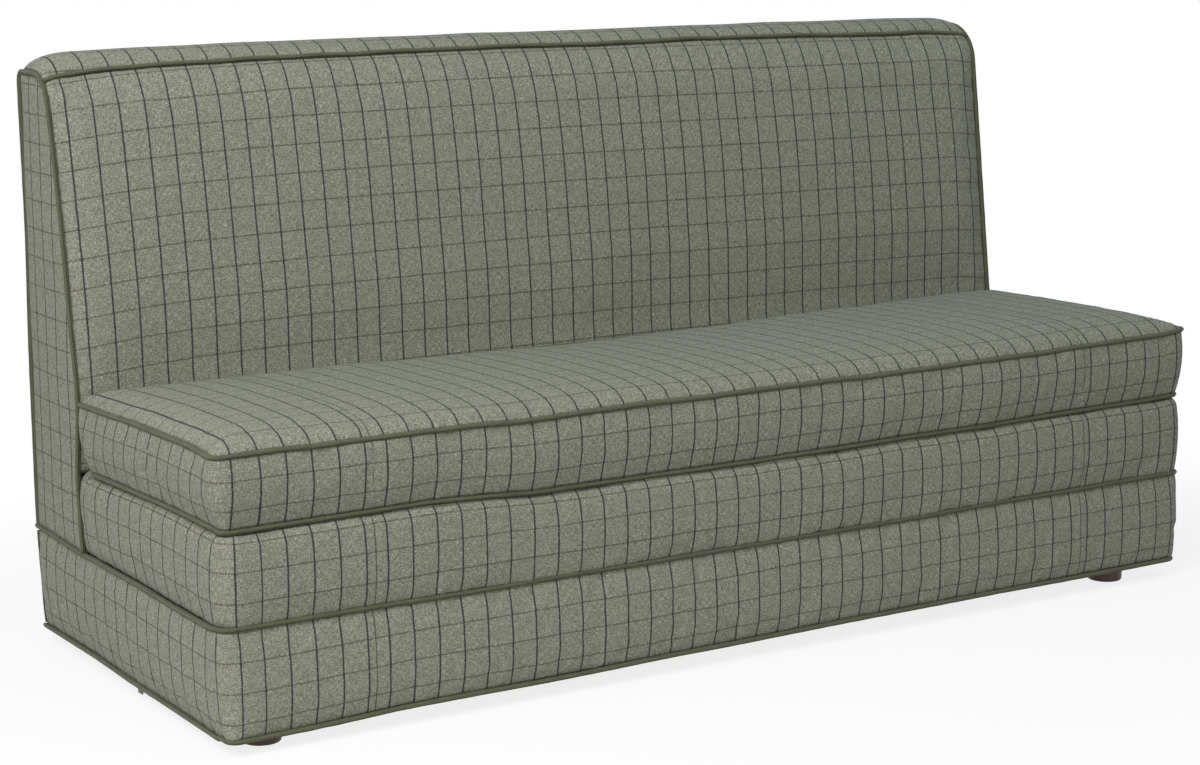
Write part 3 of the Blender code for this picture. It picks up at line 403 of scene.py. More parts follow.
def inflate(verts, faces, held, pressure, slack, cap, frames=14):
    """Run cloth under pressure with some points held, and return the points, moved by at most a cap."""
    start = np.asarray(verts, float)
    scene = bpy.context.scene
    mesh = bpy.data.meshes.new("cloth_trial")
    mesh.from_pydata([tuple(v) for v in start], [], [tuple(f) for f in faces])
    obj = bpy.data.objects.new("cloth_trial", mesh)
    scene.collection.objects.link(obj)
    group = obj.vertex_groups.new(name="held")
    group.add([int(i) for i in np.nonzero(held)[0]], 1.0, "REPLACE")
    cloth = obj.modifiers.new("cloth", "CLOTH")
    for key, value in CLOTH.items():
        setattr(cloth.settings, key, value)
    cloth.settings.shrink_min = -slack
    cloth.settings.uniform_pressure_force = pressure
    cloth.settings.effector_weights.gravity = 0
    cloth.collision_settings.use_collision = False
    cloth.collision_settings.use_self_collision = False
    cloth.point_cache.frame_start = 1
    cloth.point_cache.frame_end = frames
    for number in range(1, frames + 1):
        scene.frame_set(number)
    done = obj.evaluated_get(bpy.context.evaluated_depsgraph_get()).to_mesh()
    moved = np.empty(len(start) * 3)
    done.vertices.foreach_get("co", moved)
    moved = moved.reshape(-1, 3) - start
    scene.frame_set(1)
    bpy.data.objects.remove(obj, do_unlink=True)
    far = np.maximum(np.linalg.norm(moved, axis=1, keepdims=True), 1e-9)
    cap = np.reshape(cap, (-1, 1))
    return start + moved / far * cap * np.tanh(far / cap) * (far < 1)


def mark_points(obj, name, values):
    """Store a length at each point of a mesh, for its material."""
    tag = obj.data.attributes.get(name) or obj.data.attributes.new(name, "FLOAT", "POINT")
    tag.data.foreach_set("value", np.asarray(values, np.float32).ravel())


def run_length(points, axis=0):
    """Length along an axis of a row or grid of points, from its start."""
    step = np.linalg.norm(np.diff(points, axis=axis), axis=-1)
    return np.concatenate([np.zeros_like(step.take([0], axis)), np.cumsum(step, axis)], axis)


def edge_gap(points):
    """Length over a grid of points to its nearest edge."""
    gaps = []
    for axis in (0, 1):
        far = run_length(points, axis)
        gaps += [far, far.take([-1], axis) - far]
    return np.minimum.reduce(gaps)


def grid_corners(n, m):
    """The four corners of each face of a grid, as rows and columns."""
    i, j = (part.ravel() for part in np.meshgrid(np.arange(n - 1), np.arange(m - 1), indexing="ij"))
    return [(i, j), (i + 1, j), (i + 1, j + 1), (i, j + 1)]


def panel(name, nodes, points, across, u_at, v, thick, joins=(), flip=False, puff=None, faint=0.0):
    """A padded cloth panel of the base in place of CAD nodes, on a grid of points: across gives each row's
    length along the settee, u_at turns that into checks or holds them for each point, v is in checks
    already, and faint pales the cloth joins."""
    n, m = points.shape[:2]
    corners = grid_corners(n, m)
    way = -1 if flip else 1
    faces = np.stack([i * m + j for i, j in corners], 1)[:, ::way]
    verts = points.reshape(-1, 3)
    if puff:
        held = np.zeros((n, m), bool)
        held[[0, -1]] = True
        held[:, [0, -1]] = True
        verts = inflate(verts, faces, held.ravel(), **puff)
    if callable(u_at):
        first, second = across[corners[0][0]], across[corners[1][0]]
        low, high = (u_at(end, (first + second) / 2) for end in (first, second))
        u = (low, high, high, low)
    else:
        u = [u_at[corner] for corner in corners]
    uvs = np.stack([np.stack([a, v[corner]], 1) for a, corner in zip(u, corners)], 1)[:, ::way]
    obj = mesh_object(name, verts, faces, uvs, TWEED)
    mark = np.full(n, 0.05)
    for join in joins:
        mark = np.minimum(mark, np.abs(across - join))
    mark_points(obj, "join", np.repeat(np.maximum(mark, faint), m))
    # Lengths to the panel's edges, for the painted shade beside its piping.
    mark_points(obj, "edge", edge_gap(points))
    shell = obj.modifiers.new("padding", "SOLIDIFY")
    shell.thickness = thick
    shell.offset = -1
    settle(obj, "base", nodes)
    return obj


def settle(obj, body, nodes):
    """Put a finished piece on its body, in place of its CAD nodes."""
    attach(obj, body)
    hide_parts(*nodes)


# Checks along each upholstered part
SIDE_CHECK = 17              # checks from the middle to the stripe by which a side width of cloth is laid
TURN_CHECK, RUN_CHECK = 21, 24    # checks from the middle to where a corner begins and ends
TURN_START = 0.891           # length from the middle of the front to where a corner begins
TURN_END = 0.037             # and how far past the round of the corner it ends
BOX_TURN_START, BOX_TURN = 0.889, 0.1326


def joined_u(x, middle, left=-0.721, right=0.723):
    """Checks along a front that is pieced from three widths of cloth."""
    side = np.where(middle > JOIN, SIDE_CHECK + (x - right) / PITCH_U, x / PITCH_U)
    return np.where(middle < -JOIN, -SIDE_CHECK + (x - left) / PITCH_U, side)


def band_u(half, radius):
    """Checks along a band that runs round the front corners."""
    end = half - radius + radius * math.pi / 2 + TURN_END

    def u_at(s, middle):
        out = np.abs(s)
        turn = TURN_CHECK + (RUN_CHECK - TURN_CHECK) * (out - TURN_START) / (end - TURN_START)
        edge = np.where(out < end, turn, RUN_CHECK + (out - end) / SIDE_PITCH)
        return np.where(np.abs(middle) < TURN_START, joined_u(s, middle), np.sign(s) * edge)
    return u_at


def band_path(radius, half, front, rear):
    """A plan path from the left rear round both front corners to the right rear: length from the middle of
    the front, position, outward normal, and the share of the way along a side (0 on the front)."""
    reach, turn = half - radius, radius * math.pi / 2
    run = rear - front - radius
    rows = []
    for s in steps(0, reach, 0.010, 0, (JOIN,)):
        rows.append((s, (s, front), (0.0, -1.0), 0.0))
    for a in np.linspace(0, math.pi / 2, 9)[1:]:
        normal = (math.sin(a), -math.cos(a))
        place = (reach + radius * normal[0], front + radius + radius * normal[1])
        rows.append((reach + radius * a, place, normal, 0.0))
    for d in steps(0, run, 0.012, 0.02)[1:]:
        rows.append((reach + turn + d, (half, front + radius + d), (1.0, 0.0), d / run))
    mirrored = [(-s, (-p[0], p[1]), (-k[0], k[1]), f) for s, p, k, f in rows[:0:-1]]
    return [np.array(column) for column in zip(*(mirrored + rows))]


def on_band(place, normal, out, z):
    """Points at heights z on a band that stands out from its plan path."""
    return np.stack([place[:, :1] + normal[:, :1] * out, place[:, 1:] + normal[:, 1:] * out, z], 2)


# How far the sewn lines run off level: along the front by x, and along the left and right sides by y
BASE_TOP_LINE = (
    ((-0.955, -0.004), (-0.3, -0.005), (0.35, -0.005), (0.55, -0.002), (0.955, -0.002)),
    ((-0.345, -0.006), (-0.17, -0.0045), (-0.1, -0.0025), (0.12, -0.0005), (0.16, -0.002), (0.22, -0.001),
     (0.3, 0.003), (0.362, 0.0045)),
    ((-0.345, -0.002), (0.362, 0.0)))
BASE_LOW_LINE = (
    ((-0.955, -0.005), (-0.82, -0.003), (-0.67, 0.002), (-0.44, 0.002), (0.0, 0.0045), (0.3, 0.0055),
     (0.955, 0.0065)),
    ((-0.345, -0.0085), (-0.17, -0.0055), (0.0, -0.0045), (0.14, 0.0)),
    ((-0.345, 0.008), (0.362, 0.004)))
CUSHION_TOP_LINE = (
    ((-0.955, 0.001), (-0.6, 0.001), (-0.45, -0.002), (-0.3, 0.0), (-0.15, -0.002), (0.0, 0.0),
     (0.2, -0.0015), (0.45, -0.001), (0.8, 0.0025), (0.9, 0.006), (0.96, 0.012)),
    ((-0.34, 0.0005), (-0.11, 0.0005), (-0.03, -0.0015), (0.06, -0.0045), (0.165, -0.008)),
    ((-0.34, 0.008), (0.165, 0.001)))
CUSHION_LOW_LINE = (
    ((-0.95, -0.008), (-0.82, -0.007), (-0.6, -0.006), (-0.5, -0.010), (-0.42, -0.0145), (0.0, -0.0165),
     (0.2, -0.015), (0.3, -0.0135), (0.5, -0.0135), (0.7, -0.010), (0.86, -0.009), (0.96, -0.005)),
    ((-0.345, -0.0065), (-0.2, -0.0055), (-0.1, -0.007), (0.0, -0.009), (0.15, -0.013)),
    ((-0.345, -0.005), (0.15, -0.009)))


def off_level(x, y, line, rear):
    """How far a sewn line runs off level at a place; behind rear it goes level between the sides."""
    front, left, right = line
    value = along(front, x)
    value = np.where((x < 0) & (y > FRONT + 0.03), along(left, y), value)
    value = np.where((x > 0) & (y > FRONT + 0.03), along(right, y), value)
    value = np.where((np.abs(x) < 0.90) & (y < FRONT + 0.05), along(front, x), value)
    return np.where((y > rear) & (np.abs(x) < 0.93), value * part_of(np.abs(x) - 0.78, 0.15), value)


def spread_level(x, y, line, from_end, from_front):
    """A sewn line's rise carried into the panel inside it, from its front and its nearer end."""
    front, left, right = line
    end = np.where(x < 0, along(left, y), along(right, y))
    near_front, near_end = 1 / (from_front + 0.002) ** 2, 1 / (from_end + 0.002) ** 2
    return (along(front, x) * near_front + end * near_end) / (near_front + near_end)


def back_y(z):
    """The back's front line at a height."""
    return FOOT_Y + (z - BASE_TOP) * math.tan(LEAN)


# How far the back lies behind its straight front line, by height: on its left edge, middle and right
LEFT_EDGE = ((0.196, 0.0175), (0.29, 0.018), (0.33, 0.0155), (0.375, 0.005), (0.42, -0.006), (0.47, -0.0125),
             (0.66, -0.0125), (0.76, -0.007), (0.86, -0.004), (0.90, 0.0))
PAD_MIDDLE = ((0.42, 0.002), (0.48, 0.002), (0.52, -0.0025), (0.55, -0.0055), (0.60, -0.007), (0.66, -0.005),
              (0.76, -0.004), (0.84, 0.0), (0.90, 0.005))
PAD_RIGHT = ((0.42, 0.008), (0.48, 0.0095), (0.52, 0.005), (0.55, 0.0025), (0.60, -0.0025), (0.66, -0.003),
             (0.72, -0.004), (0.78, -0.002), (0.86, 0.004), (0.92, 0.006))


def pad_shift(x, z):
    """How far the back's front surface lies behind its straight front line."""
    left = np.exp(-(x + HALF) / 0.12)
    right = smooth(part_of(x + 0.05, 0.22))
    inner = along(PAD_MIDDLE, z) * (1 - right) + along(PAD_RIGHT, z) * right
    return along(LEFT_EDGE, z) * left + inner * (1 - left) * part_of(HALF - x, 0.06)


# Base band and its rear panel
def build_base():
    s, place, normal, side = band_path(BASE_CORNER, HALF, FRONT, REAR - 0.003)
    rows = (0, 0.012, 0.03, 0.06, 0.11, 0.18, 0.27, 0.36, 0.45, 0.55, 0.64, 0.73, 0.82, 0.89, 0.94, 0.97,
            0.988, 1)
    z = BASE_LOW + 0.0005 + (BASE_TOP - BASE_LOW - 0.001) * np.array(rows)
    up = (z - BASE_LOW) / (BASE_TOP - BASE_LOW)
    kick = BASE_KICK - (BASE_KICK + BASE_DRAW) * up
    out = np.abs(normal[:, :1]) * (BASE_TAPER * (up - 1)) + np.abs(normal[:, 1:]) * kick
    out = out + 0.0042 * np.sin(math.pi * up) ** 0.8
    out = out - tuck(z - BASE_LOW) - tuck(BASE_TOP - z, 0.0035)
    out = out - tuck((1 - side[:, None]) * 0.70, 0.004, 0.006)
    S, Z = np.meshgrid(s, z, indexing="ij")
    out = out + 0.0011 * ripple(S, Z, 0.30, 3) * np.sin(math.pi * up)
    out = out + 0.0007 * ripple(S, Z * 3, 0.09, 4) * np.sin(math.pi * up)
    points = on_band(place, normal, out, Z)
    x, y = points[..., 0], points[..., 1]
    points[..., 2] += off_level(x, y, BASE_TOP_LINE, BASE_REAR) * up
    points[..., 2] += off_level(x, y, BASE_LOW_LINE, BASE_REAR) * (1 - up)
    curl = part_of(y - 0.30, 0.06) * part_of(0.06 - Z, 0.06)
    points[..., 1] -= 0.010 * curl ** 2
    v = (Z - BASE_LINE + 0.0012 * ripple(S, 0, 0.5, 5)) / PITCH_V
    panel("base_cover", ["base_front_border", "base_left_border", "base_right_border"], points, s,
          band_u(HALF, BASE_CORNER), v, 0.012, (-JOIN, JOIN),
          puff=dict(pressure=0.9, slack=0.006, cap=0.004))
    rear_panel("base_rear_cover", BASE_LOW, BASE_TOP, "base_rear_border", BASE_TAPER)


def rear_panel(name, low, high, node, taper):
    """A flat upholstered panel on the rear, drawn in at its piping and narrower at its bottom by a taper."""
    x = steps(-HALF + 0.003, HALF - 0.003, 0.016, 0.02)
    z = steps(low + 0.0005, high - 0.0005, 0.014, 0.015)
    X, Z = np.meshgrid(x, z, indexing="ij")
    X = X * (1 - taper / HALF * (high - Z) / (high - low))
    gap = np.minimum(np.minimum(HALF - np.abs(X), Z - low), high - Z)
    bulge = 0.0025 * fade(gap, 0.03) + 0.0007 * ripple(X, Z, 0.35, 9)
    points = np.stack([X, REAR + bulge - tuck(gap, 0.004), Z], 2)
    v = (Z - BASE_LINE) / PITCH_V
    panel(name, [node], points, x, lambda a, middle: a / PITCH_U, v, 0.008, flip=True)


# Seat border under the cushion
def seat_section():
    """Offset and height along the seat border's section, from the base over its round edge to the deck."""
    shoulder, low = DECK - SEAT_EDGE, BASE_TOP + 0.0005
    rises = (0, 0.002, 0.005, 0.010, 0.018, 0.030, 0.046, 0.064, 0.082, 0.100)
    rows = [(-tuck(rise, 0.004), low + rise) for rise in rises]
    for a in np.linspace(0, math.pi / 2, 10):
        rows.append((SEAT_EDGE * math.cos(a) - SEAT_EDGE, shoulder + SEAT_EDGE * math.sin(a)))
    hem = ((-0.0290, 0.0002), (-0.0312, 0.0014), (-0.0318, 0.004), (-0.0318, 0.015))
    rows += [(off, DECK - drop) for off, drop in hem]
    return np.array(rows)


def build_seat():
    s, place, normal, side = band_path(SEAT_CORNER, HALF, FRONT, SEAT_REAR)
    place[:, 0] += SEAT_MIDDLE
    shoulder, low = DECK - SEAT_EDGE, BASE_TOP + 0.0005
    section = seat_section()
    arc = run_length(section)
    edge_row, crest_row = 10, 13    # rows of the section where its round edge begins and where it is fullest
    S, A = np.meshgrid(s, arc, indexing="ij")
    OFF, Z = (np.broadcast_to(column, S.shape) for column in section.T)
    up = part_of(Z - low, shoulder - low)
    outside = OFF > -0.026
    swell = np.where(Z < shoulder, 0.0042 * np.sin(math.pi * up) ** 0.8, 0)
    swell = swell + 0.0010 * ripple(S, A, 0.26, 13) * part_of(A, 0.05) * outside
    pucker = np.sin(S * math.tau / 0.031 + 1.5 * ripple(S, 0, 0.2, 15))
    pucker = pucker * np.clip(ripple(S, 0, 0.5, 16) + 0.35, 0, 1)
    crest = np.exp(-((A - arc[crest_row]) / 0.022) ** 2)
    swell = swell + 0.0011 * pucker * crest * (0.35 + 0.65 * (S < -0.9))
    end = part_of(side[:, None] - 0.93, 0.07)
    swell = swell - 0.004 * end ** 2 * outside
    points = on_band(place, normal, OFF + swell, Z)
    x, y = points[..., 0], points[..., 1]
    points[..., 2] += off_level(x, y, BASE_TOP_LINE, BASE_REAR) * np.clip(1 - (Z - low) / 0.08, 0, 1)
    pressed = np.clip(-off_level(x, y, CUSHION_LOW_LINE, BASE_REAR) - 0.0025, 0, 0.014)
    points[..., 2] -= pressed * part_of(Z - low - 0.06, 0.07)
    shift = side[:, None] * (back_y(Z) + 0.001 - SEAT_REAR)
    shift = shift + (S < 0) * np.clip(side * 4 - 3, 0, 1)[:, None] * along(LEFT_EDGE, Z)
    points[..., 1] += shift
    v = (BASE_TOP + A - SEAT_LINE + 0.0012 * ripple(S, 0, 0.5, 6)) / PITCH_V
    obj = panel("seat_border_cover", ["seat_front_border", "seat_left_border", "seat_right_border"],
                points, s + SEAT_MIDDLE, band_u(HALF, SEAT_CORNER), v, 0.010,
                (SEAT_MIDDLE - JOIN, SEAT_MIDDLE + JOIN), puff=dict(pressure=0.8, slack=0.008, cap=0.003))
    # Painted shadow: a dark band on the seat border along the line where the cushion's bottom cord rests on
    # it.
    inset = 0.013 * np.abs(normal[:, 1]) + 0.008 * np.abs(normal[:, 0])
    contact = arc[edge_row] + SEAT_EDGE * np.arccos(1 - inset / SEAT_EDGE)
    mark_points(obj, "edge", np.minimum(edge_gap(points), 0.0034 + 0.5 * np.abs(A - contact[:, None])))


# Back
SIDES = {-1: "left", 1: "right"}

# Height of the top seam along the back
SEAM = ((-0.955, 0.9455), (-0.94, 0.9505), (-0.92, 0.9545), (-0.87, 0.9585), (-0.77, 0.9635), (-0.57, 0.967),
        (-0.3, 0.969), (-0.1, 0.9705), (0.1, 0.968), (0.32, 0.9705), (0.55, 0.9685), (0.74, 0.965),
        (0.84, 0.965), (0.925, 0.9615), (0.945, 0.9585), (0.955, 0.951))

# How far the check's lines hang towards the ends of the back
DROOP = ((-0.955, 0.027), (-0.88, 0.018), (-0.83, 0.013), (-0.73, 0.007), (-0.53, 0.0015), (-0.33, 0.0),
         (0.0, 0.0), (0.57, 0.005), (0.87, 0.009), (0.955, 0.018))


def end_share(x):
    """0 along the back and 1 at its ends, where its roll falls away to the side piping."""
    start = np.where(x < 0, 0.885, 0.908)
    share = part_of(np.abs(x) - start, HALF - start)
    return 1 - np.sqrt(np.maximum(1 - share ** 2, 0))


def roll_at(x):
    """Radius of the top roll along the back."""
    share = end_share(x)
    slack = np.where(x < 0, 0.006, 0.003) * (np.abs(x) / HALF) ** 5 * (1 - share)
    return ROLL + (np.where(x < 0, END_ROLL[-1], END_ROLL[1]) - ROLL) * share - slack


def roll_centre(radius):
    """Place of the roll's centre behind the front, at the height ROLL_Z."""
    return FOOT_Y + (ROLL_Z - BASE_TOP) * math.tan(LEAN) + radius / math.cos(LEAN)


def seam_angle(x):
    """Angle of the top seam on the roll."""
    return np.arcsin(np.clip((along(SEAM, x) - ROLL_Z) / roll_at(x), 0.2, 0.97))


def back_u(x, middle):
    """Checks along the back, which is pieced from three widths of cloth."""
    inner = (x - BACK_STRIPE) / np.where(x > BACK_STRIPE, 0.04285, 0.0431)
    right = np.where(middle > BACK_JOINS[1], SIDE_CHECK + (x - 0.751) / 0.0425, inner)
    return np.where(middle < BACK_JOINS[0], -SIDE_CHECK + (x + 0.706) / 0.0444, right)


def build_back():
    x = steps(-HALF + 0.0008, HALF - 0.0008, 0.011, 0.05, BACK_JOINS)
    low = DECK - 0.015
    radius = roll_at(x)[:, None]
    seam = seam_angle(x)[:, None]
    tangent_z = ROLL_Z + radius * math.sin(LEAN)
    line = low + (tangent_z - low) * np.linspace(0, 1, 52)
    angle = LEAN + (seam - LEAN) * np.linspace(0, 1, 14)[1:]
    Y = np.concatenate([back_y(line), roll_centre(radius) - radius * np.cos(angle)], 1)
    Z = np.concatenate([line, ROLL_Z + radius * np.sin(angle)], 1)
    tilt = np.concatenate([np.full_like(line, LEAN), angle], 1)
    A = np.concatenate([(line - low) / math.cos(LEAN),
                        (tangent_z - low) / math.cos(LEAN) + radius * (angle - LEAN)], 1)
    X = np.broadcast_to(x[:, None], A.shape)
    side = HALF - np.abs(X)
    to_seam = A[:, -1:] - A
    rise = 0.011 * fade(side, 0.028) * fade(to_seam, 0.030) * fade(A, 0.18)
    rise = rise + 0.0012 * ripple(X, A, 0.42, 21) * fade(side, 0.03) * fade(to_seam, 0.03)
    rise = rise + 0.0006 * ripple(X, A * 0.4, 0.10, 22) * fade(to_seam, 0.02) * np.exp(-to_seam / 0.09)
    rise = rise - tuck(side, 0.004) - tuck(to_seam, 0.0035)
    settled = pad_shift(X, Z) * fade(to_seam, 0.02)
    points = np.stack([X, Y - np.cos(tilt) * rise + settled, Z + np.sin(tilt) * rise], 2)
    droop = along(DROOP, X) * (0.72 + 0.28 * A / A.max())
    first_line = (BACK_LINE - low) / math.cos(LEAN)
    v = (A - first_line + droop + 0.0012 * ripple(X, 0, 0.9, 23)) / BACK_PITCH_V
    panel("back_cover", ["back_pad"], points, x, back_u, v, 0.020, BACK_JOINS[:1],
          puff=dict(pressure=1.1, slack=0.005, cap=0.005), faint=FAINT_JOIN)
    build_back_top(x, A[:, -1:] - first_line)
    for sign in SIDES:
        build_back_side(sign)
    rear_panel("outside_back_cover", BASE_TOP, OUTSIDE_TOP - 0.001, "outside_back", 0.0)


def build_back_top(x, start):
    """The border over the top of the back, from the top seam to the outside back; start is the length
    at the seam from a line of the check."""
    radius = roll_at(x)[:, None]
    centre = roll_centre(radius)
    rear_radius = REAR - centre - 0.044 * end_share(x)[:, None]
    rear_centre = REAR - rear_radius
    crest = ROLL_Z + radius
    angle = np.linspace(seam_angle(x), math.pi / 2, 10, axis=1)
    flat = np.linspace(centre[:, 0], rear_centre[:, 0], 4, axis=1)[:, 1:]
    over = np.linspace(math.pi / 2, 0, 8)[1:]
    Y = np.concatenate([centre - radius * np.cos(angle), flat, rear_centre + rear_radius * np.cos(over),
                        np.full((len(x), 2), REAR)], 1)
    Z = np.concatenate([ROLL_Z + radius * np.sin(angle), np.repeat(crest, 3, 1),
                        crest - rear_radius + rear_radius * np.sin(over)], 1)
    last = Z[:, -1:]
    hem = np.where(last > OUTSIDE_TOP + 0.001, OUTSIDE_TOP, last)
    YZ = np.stack([Y, np.concatenate([Z, last + (hem - last) * 0.5, hem], 1)], 2)
    A = run_length(YZ, 1)
    X = np.broadcast_to(x[:, None], A.shape)
    way = np.gradient(YZ, axis=1)
    way /= np.maximum(np.linalg.norm(way, axis=2, keepdims=True), 1e-9)
    side = HALF - np.abs(X)
    rise = 0.002 * fade(A, 0.02) * fade(side, 0.02) - tuck(A) - tuck(side, 0.003)
    rise = rise + 0.0009 * ripple(X, A, 0.22, 31) * fade(A, 0.02)
    rise = rise * part_of(A[:, -1:] - A, 0.03)
    points = np.stack([X, YZ[..., 0] - way[..., 1] * rise, YZ[..., 1] + way[..., 0] * rise], 2)
    panel("back_top_cover", ["back_top_border"], points, x, back_u, (start + A) / BACK_PITCH_V, 0.014,
          BACK_JOINS[:1], puff=dict(pressure=0.5, slack=0.004, cap=0.0015), faint=FAINT_JOIN)


def side_front(z, roll, sign):
    """The front edge of the back's side panel, which rolls over at its top."""
    high = np.clip((z - ROLL_Z) / roll, -1, 0.999)
    rolled = roll_centre(roll) - roll * np.sqrt(1 - high ** 2)
    return np.where(z > ROLL_Z + roll * math.sin(LEAN), rolled, back_y(z) + pad_shift(sign * HALF, z))


def build_back_side(sign):
    """A flat side panel of the back, drawn in at its piping."""
    roll = END_ROLL[sign]
    z = np.concatenate([steps(BASE_TOP + 0.0005, ROLL_Z + 0.009, 0.015, 0.012),
                        ROLL_Z + (roll - 0.0005) * np.sin(np.linspace(0.22, math.pi / 2, 9))])
    t = np.array([0, 0.012, 0.03, 0.06, 0.11, 0.2, 0.32, 0.45, 0.58, 0.7, 0.81, 0.89, 0.94, 0.97, 0.988, 1])
    T, Z = np.meshgrid(t, z, indexing="ij")
    front = side_front(Z, roll, sign) + 0.001
    Y = front + (REAR - 0.001 - front) * T
    gap = np.minimum(np.minimum(Y - front, REAR - Y), np.minimum(Z - BASE_TOP, ROLL_Z + roll - Z))
    bulge = 0.0035 * fade(gap, 0.03) - tuck(gap, 0.0045) + 0.0007 * ripple(Y, Z, 0.2, 41)
    dip = off_level(np.full_like(Y, sign * HALF), Y, BASE_TOP_LINE, OPEN_END)
    dip = dip * np.clip(1 - (Z - BASE_TOP) / 0.08, 0, 1)
    points = np.stack([sign * (HALF - 0.001 + bulge), Y, Z + dip], 2)
    u, v = (Y - BACK_SIDE_STRIPE) / SIDE_PITCH, (Z - BACK_SIDE_LINE) / BACK_SIDE_PITCH_V
    name = f"back_{SIDES[sign]}"
    panel(f"{name}_cover", [f"{name}_border"], points, t, u, v, 0.012, flip=sign < 0)


# Loose seat cushion
# How much fuller the cushion's crown is, by x
CROWN_LINE = ((-0.85, 0.002), (-0.64, 0.001), (-0.13, -0.001), (0.0, -0.0015), (0.13, -0.0005), (0.38, 0.003),
              (0.64, 0.0045), (0.77, 0.0055))
BOX_SHARES = np.array([0.965, 0.92, 0.85, 0.75, 0.63, 0.5, 0.37, 0.25, 0.15, 0.08, 0.035])


def cushion_outline(share):
    """Half length, front and rear of the cushion's outline at a share of its height."""
    half = 0.948 + 0.008 * share
    front = FRONT + 0.012 - 0.007 * share
    low, high = back_y(CUSHION_LOW) - 0.020, back_y(CUSHION_HIGH) - 0.0095
    return half, front, low + (high - low) * share


def rounded(a, b, outline, radius, draw):
    """A point of a grid, -1 to 1 each way, on an outline with round corners and long sides drawn in."""
    half, front, rear = outline
    depth, middle = (rear - front) / 2, (rear + front) / 2
    x, y = a * half, b * depth
    ex, ey = part_of(np.abs(x) - half + radius, radius), part_of(np.abs(y) - depth + radius, radius)
    fx, fy = ex * np.sqrt(1 - ey ** 2 / 2), ey * np.sqrt(1 - ex ** 2 / 2)
    x = np.sign(x) * (np.abs(x) + (fx - ex) * radius)
    y = np.sign(y) * (np.abs(y) + (fy - ey) * radius)
    y = y * (1 - draw * (1 - (x / half) ** 2) / depth)
    return x, y + middle


def side_gap(A, B, outline):
    """Length from a point of the square grid to the nearest edge of an outline."""
    half, front, rear = outline
    return np.minimum((1 - np.abs(A)) * half, (1 - np.abs(B)) * (rear - front) / 2)


def cushion_grid(outline):
    """A square grid over the cushion, -1 to 1 each way, closer near its edges."""
    half, front, rear = outline
    depth = (rear - front) / 2
    across = steps(-half, half, 0.0125, 0.045, (-JOIN, JOIN)) / half
    near = np.array([0, 0.0016, 0.0038, 0.0068, 0.0106, 0.0152, 0.0206, 0.0270, 0.0344, 0.0428, 0.0522,
                     0.0625, 0.0737])
    deep = np.concatenate([near - depth, np.linspace(0.086 - depth, depth - 0.055, 28), depth - near[10::-1]])
    return np.meshgrid(across, deep / depth, indexing="ij")


def cushion_top(A, B, outline):
    """The crowned top of the cushion."""
    half, front, rear = outline
    X, Y = rounded(A, B, outline, 0.012, 0.004)
    X = X + CUSHION_MIDDLE - 0.007 * np.exp(-((Y - front) / 0.05) ** 2) * part_of(-0.90 - X, 0.05)
    X = X - 0.003 * part_of(X - 0.91, 0.04)
    gap = side_gap(A, B, outline)
    deep = (1 + B) / 2
    from_front = deep * (rear - front)
    s = X + 0.7 * Y
    up = 0.0011 * ripple(s, 0, 0.42, 51) + 0.0005 * ripple(s, 0, 0.11, 53)
    inside = spread_level(X, Y, CUSHION_TOP_LINE, (1 - np.abs(A)) * half, from_front)
    up = up + np.where(gap > 0, inside, off_level(X, Y, CUSHION_TOP_LINE, CUSHION_REAR))
    dome = 0.0150 * fade(from_front, 0.038) * (1 - deep ** 2.4)
    soft = 0.0135 + 0.0665 * np.exp(-((X - 0.05) / 0.33) ** 2) * part_of(B - 0.1, 0.3)
    crown = 0.0145 * fade(gap, soft) + dome * (1 - np.abs(A) ** np.where(A < 0, 34, 18))
    crown = crown + along(CROWN_LINE, X) * fade(gap, 0.05)
    crown = crown + 0.0006 * ripple(X, Y, 0.33, 57) * fade(gap, 0.04) - tuck(gap, 0.002)
    return np.stack([X, Y, CUSHION_HIGH + up * np.exp(-gap / 0.08) + crown], 2)


def cushion_underside(A, B, outline):
    """The underside of the cushion, which lies on the deck and sags at its edge."""
    X, Y = rounded(A, B, outline, 0.015, 0.004)
    X = X + CUSHION_MIDDLE
    rest = smooth(part_of(side_gap(A, B, outline), 0.022))
    hang = np.where(Y > 0.10, part_of(np.abs(X) - 0.918, 0.018), 1)
    sag = off_level(X, Y, CUSHION_LOW_LINE, OPEN_END) * hang + 0.0018 * (1 - hang)
    return np.stack([X, Y, (CUSHION_LOW + sag) * (1 - rest) + (DECK + 0.0006) * rest], 2)


def outline_of(nx, ny):
    """Rows and columns round the outside of a grid, from its left front corner along the front."""
    ring = [(i, 0) for i in range(nx)] + [(nx - 1, j) for j in range(1, ny)]
    ring += [(i, ny - 1) for i in range(nx - 2, -1, -1)] + [(0, j) for j in range(ny - 2, 0, -1)]
    return tuple(np.array(ring).T)


def outward(edge, middle):
    """Outward normals in plan along a closed line of points round a middle."""
    ahead = np.roll(edge, -1, 0) - np.roll(edge, 1, 0)
    normal = np.stack([ahead[:, 1], -ahead[:, 0]], 1)
    normal /= np.linalg.norm(normal, axis=1, keepdims=True)
    return normal * np.sign((normal * (edge[:, :2] - middle)).sum(1, keepdims=True))


def front_lengths(edge, nx, ny):
    """Length along a closed line from the middle of its front to each point and to the next, less than
    nought on the left."""
    step = np.linalg.norm(np.roll(edge, -1, 0)[:, :2] - edge[:, :2], axis=1)
    start = np.concatenate([[0], np.cumsum(step)[:-1]])
    start = start - np.interp(0.0, edge[:nx, 0], start[:nx])
    start[2 * nx + ny - 3:] -= step.sum()
    return start, start + step


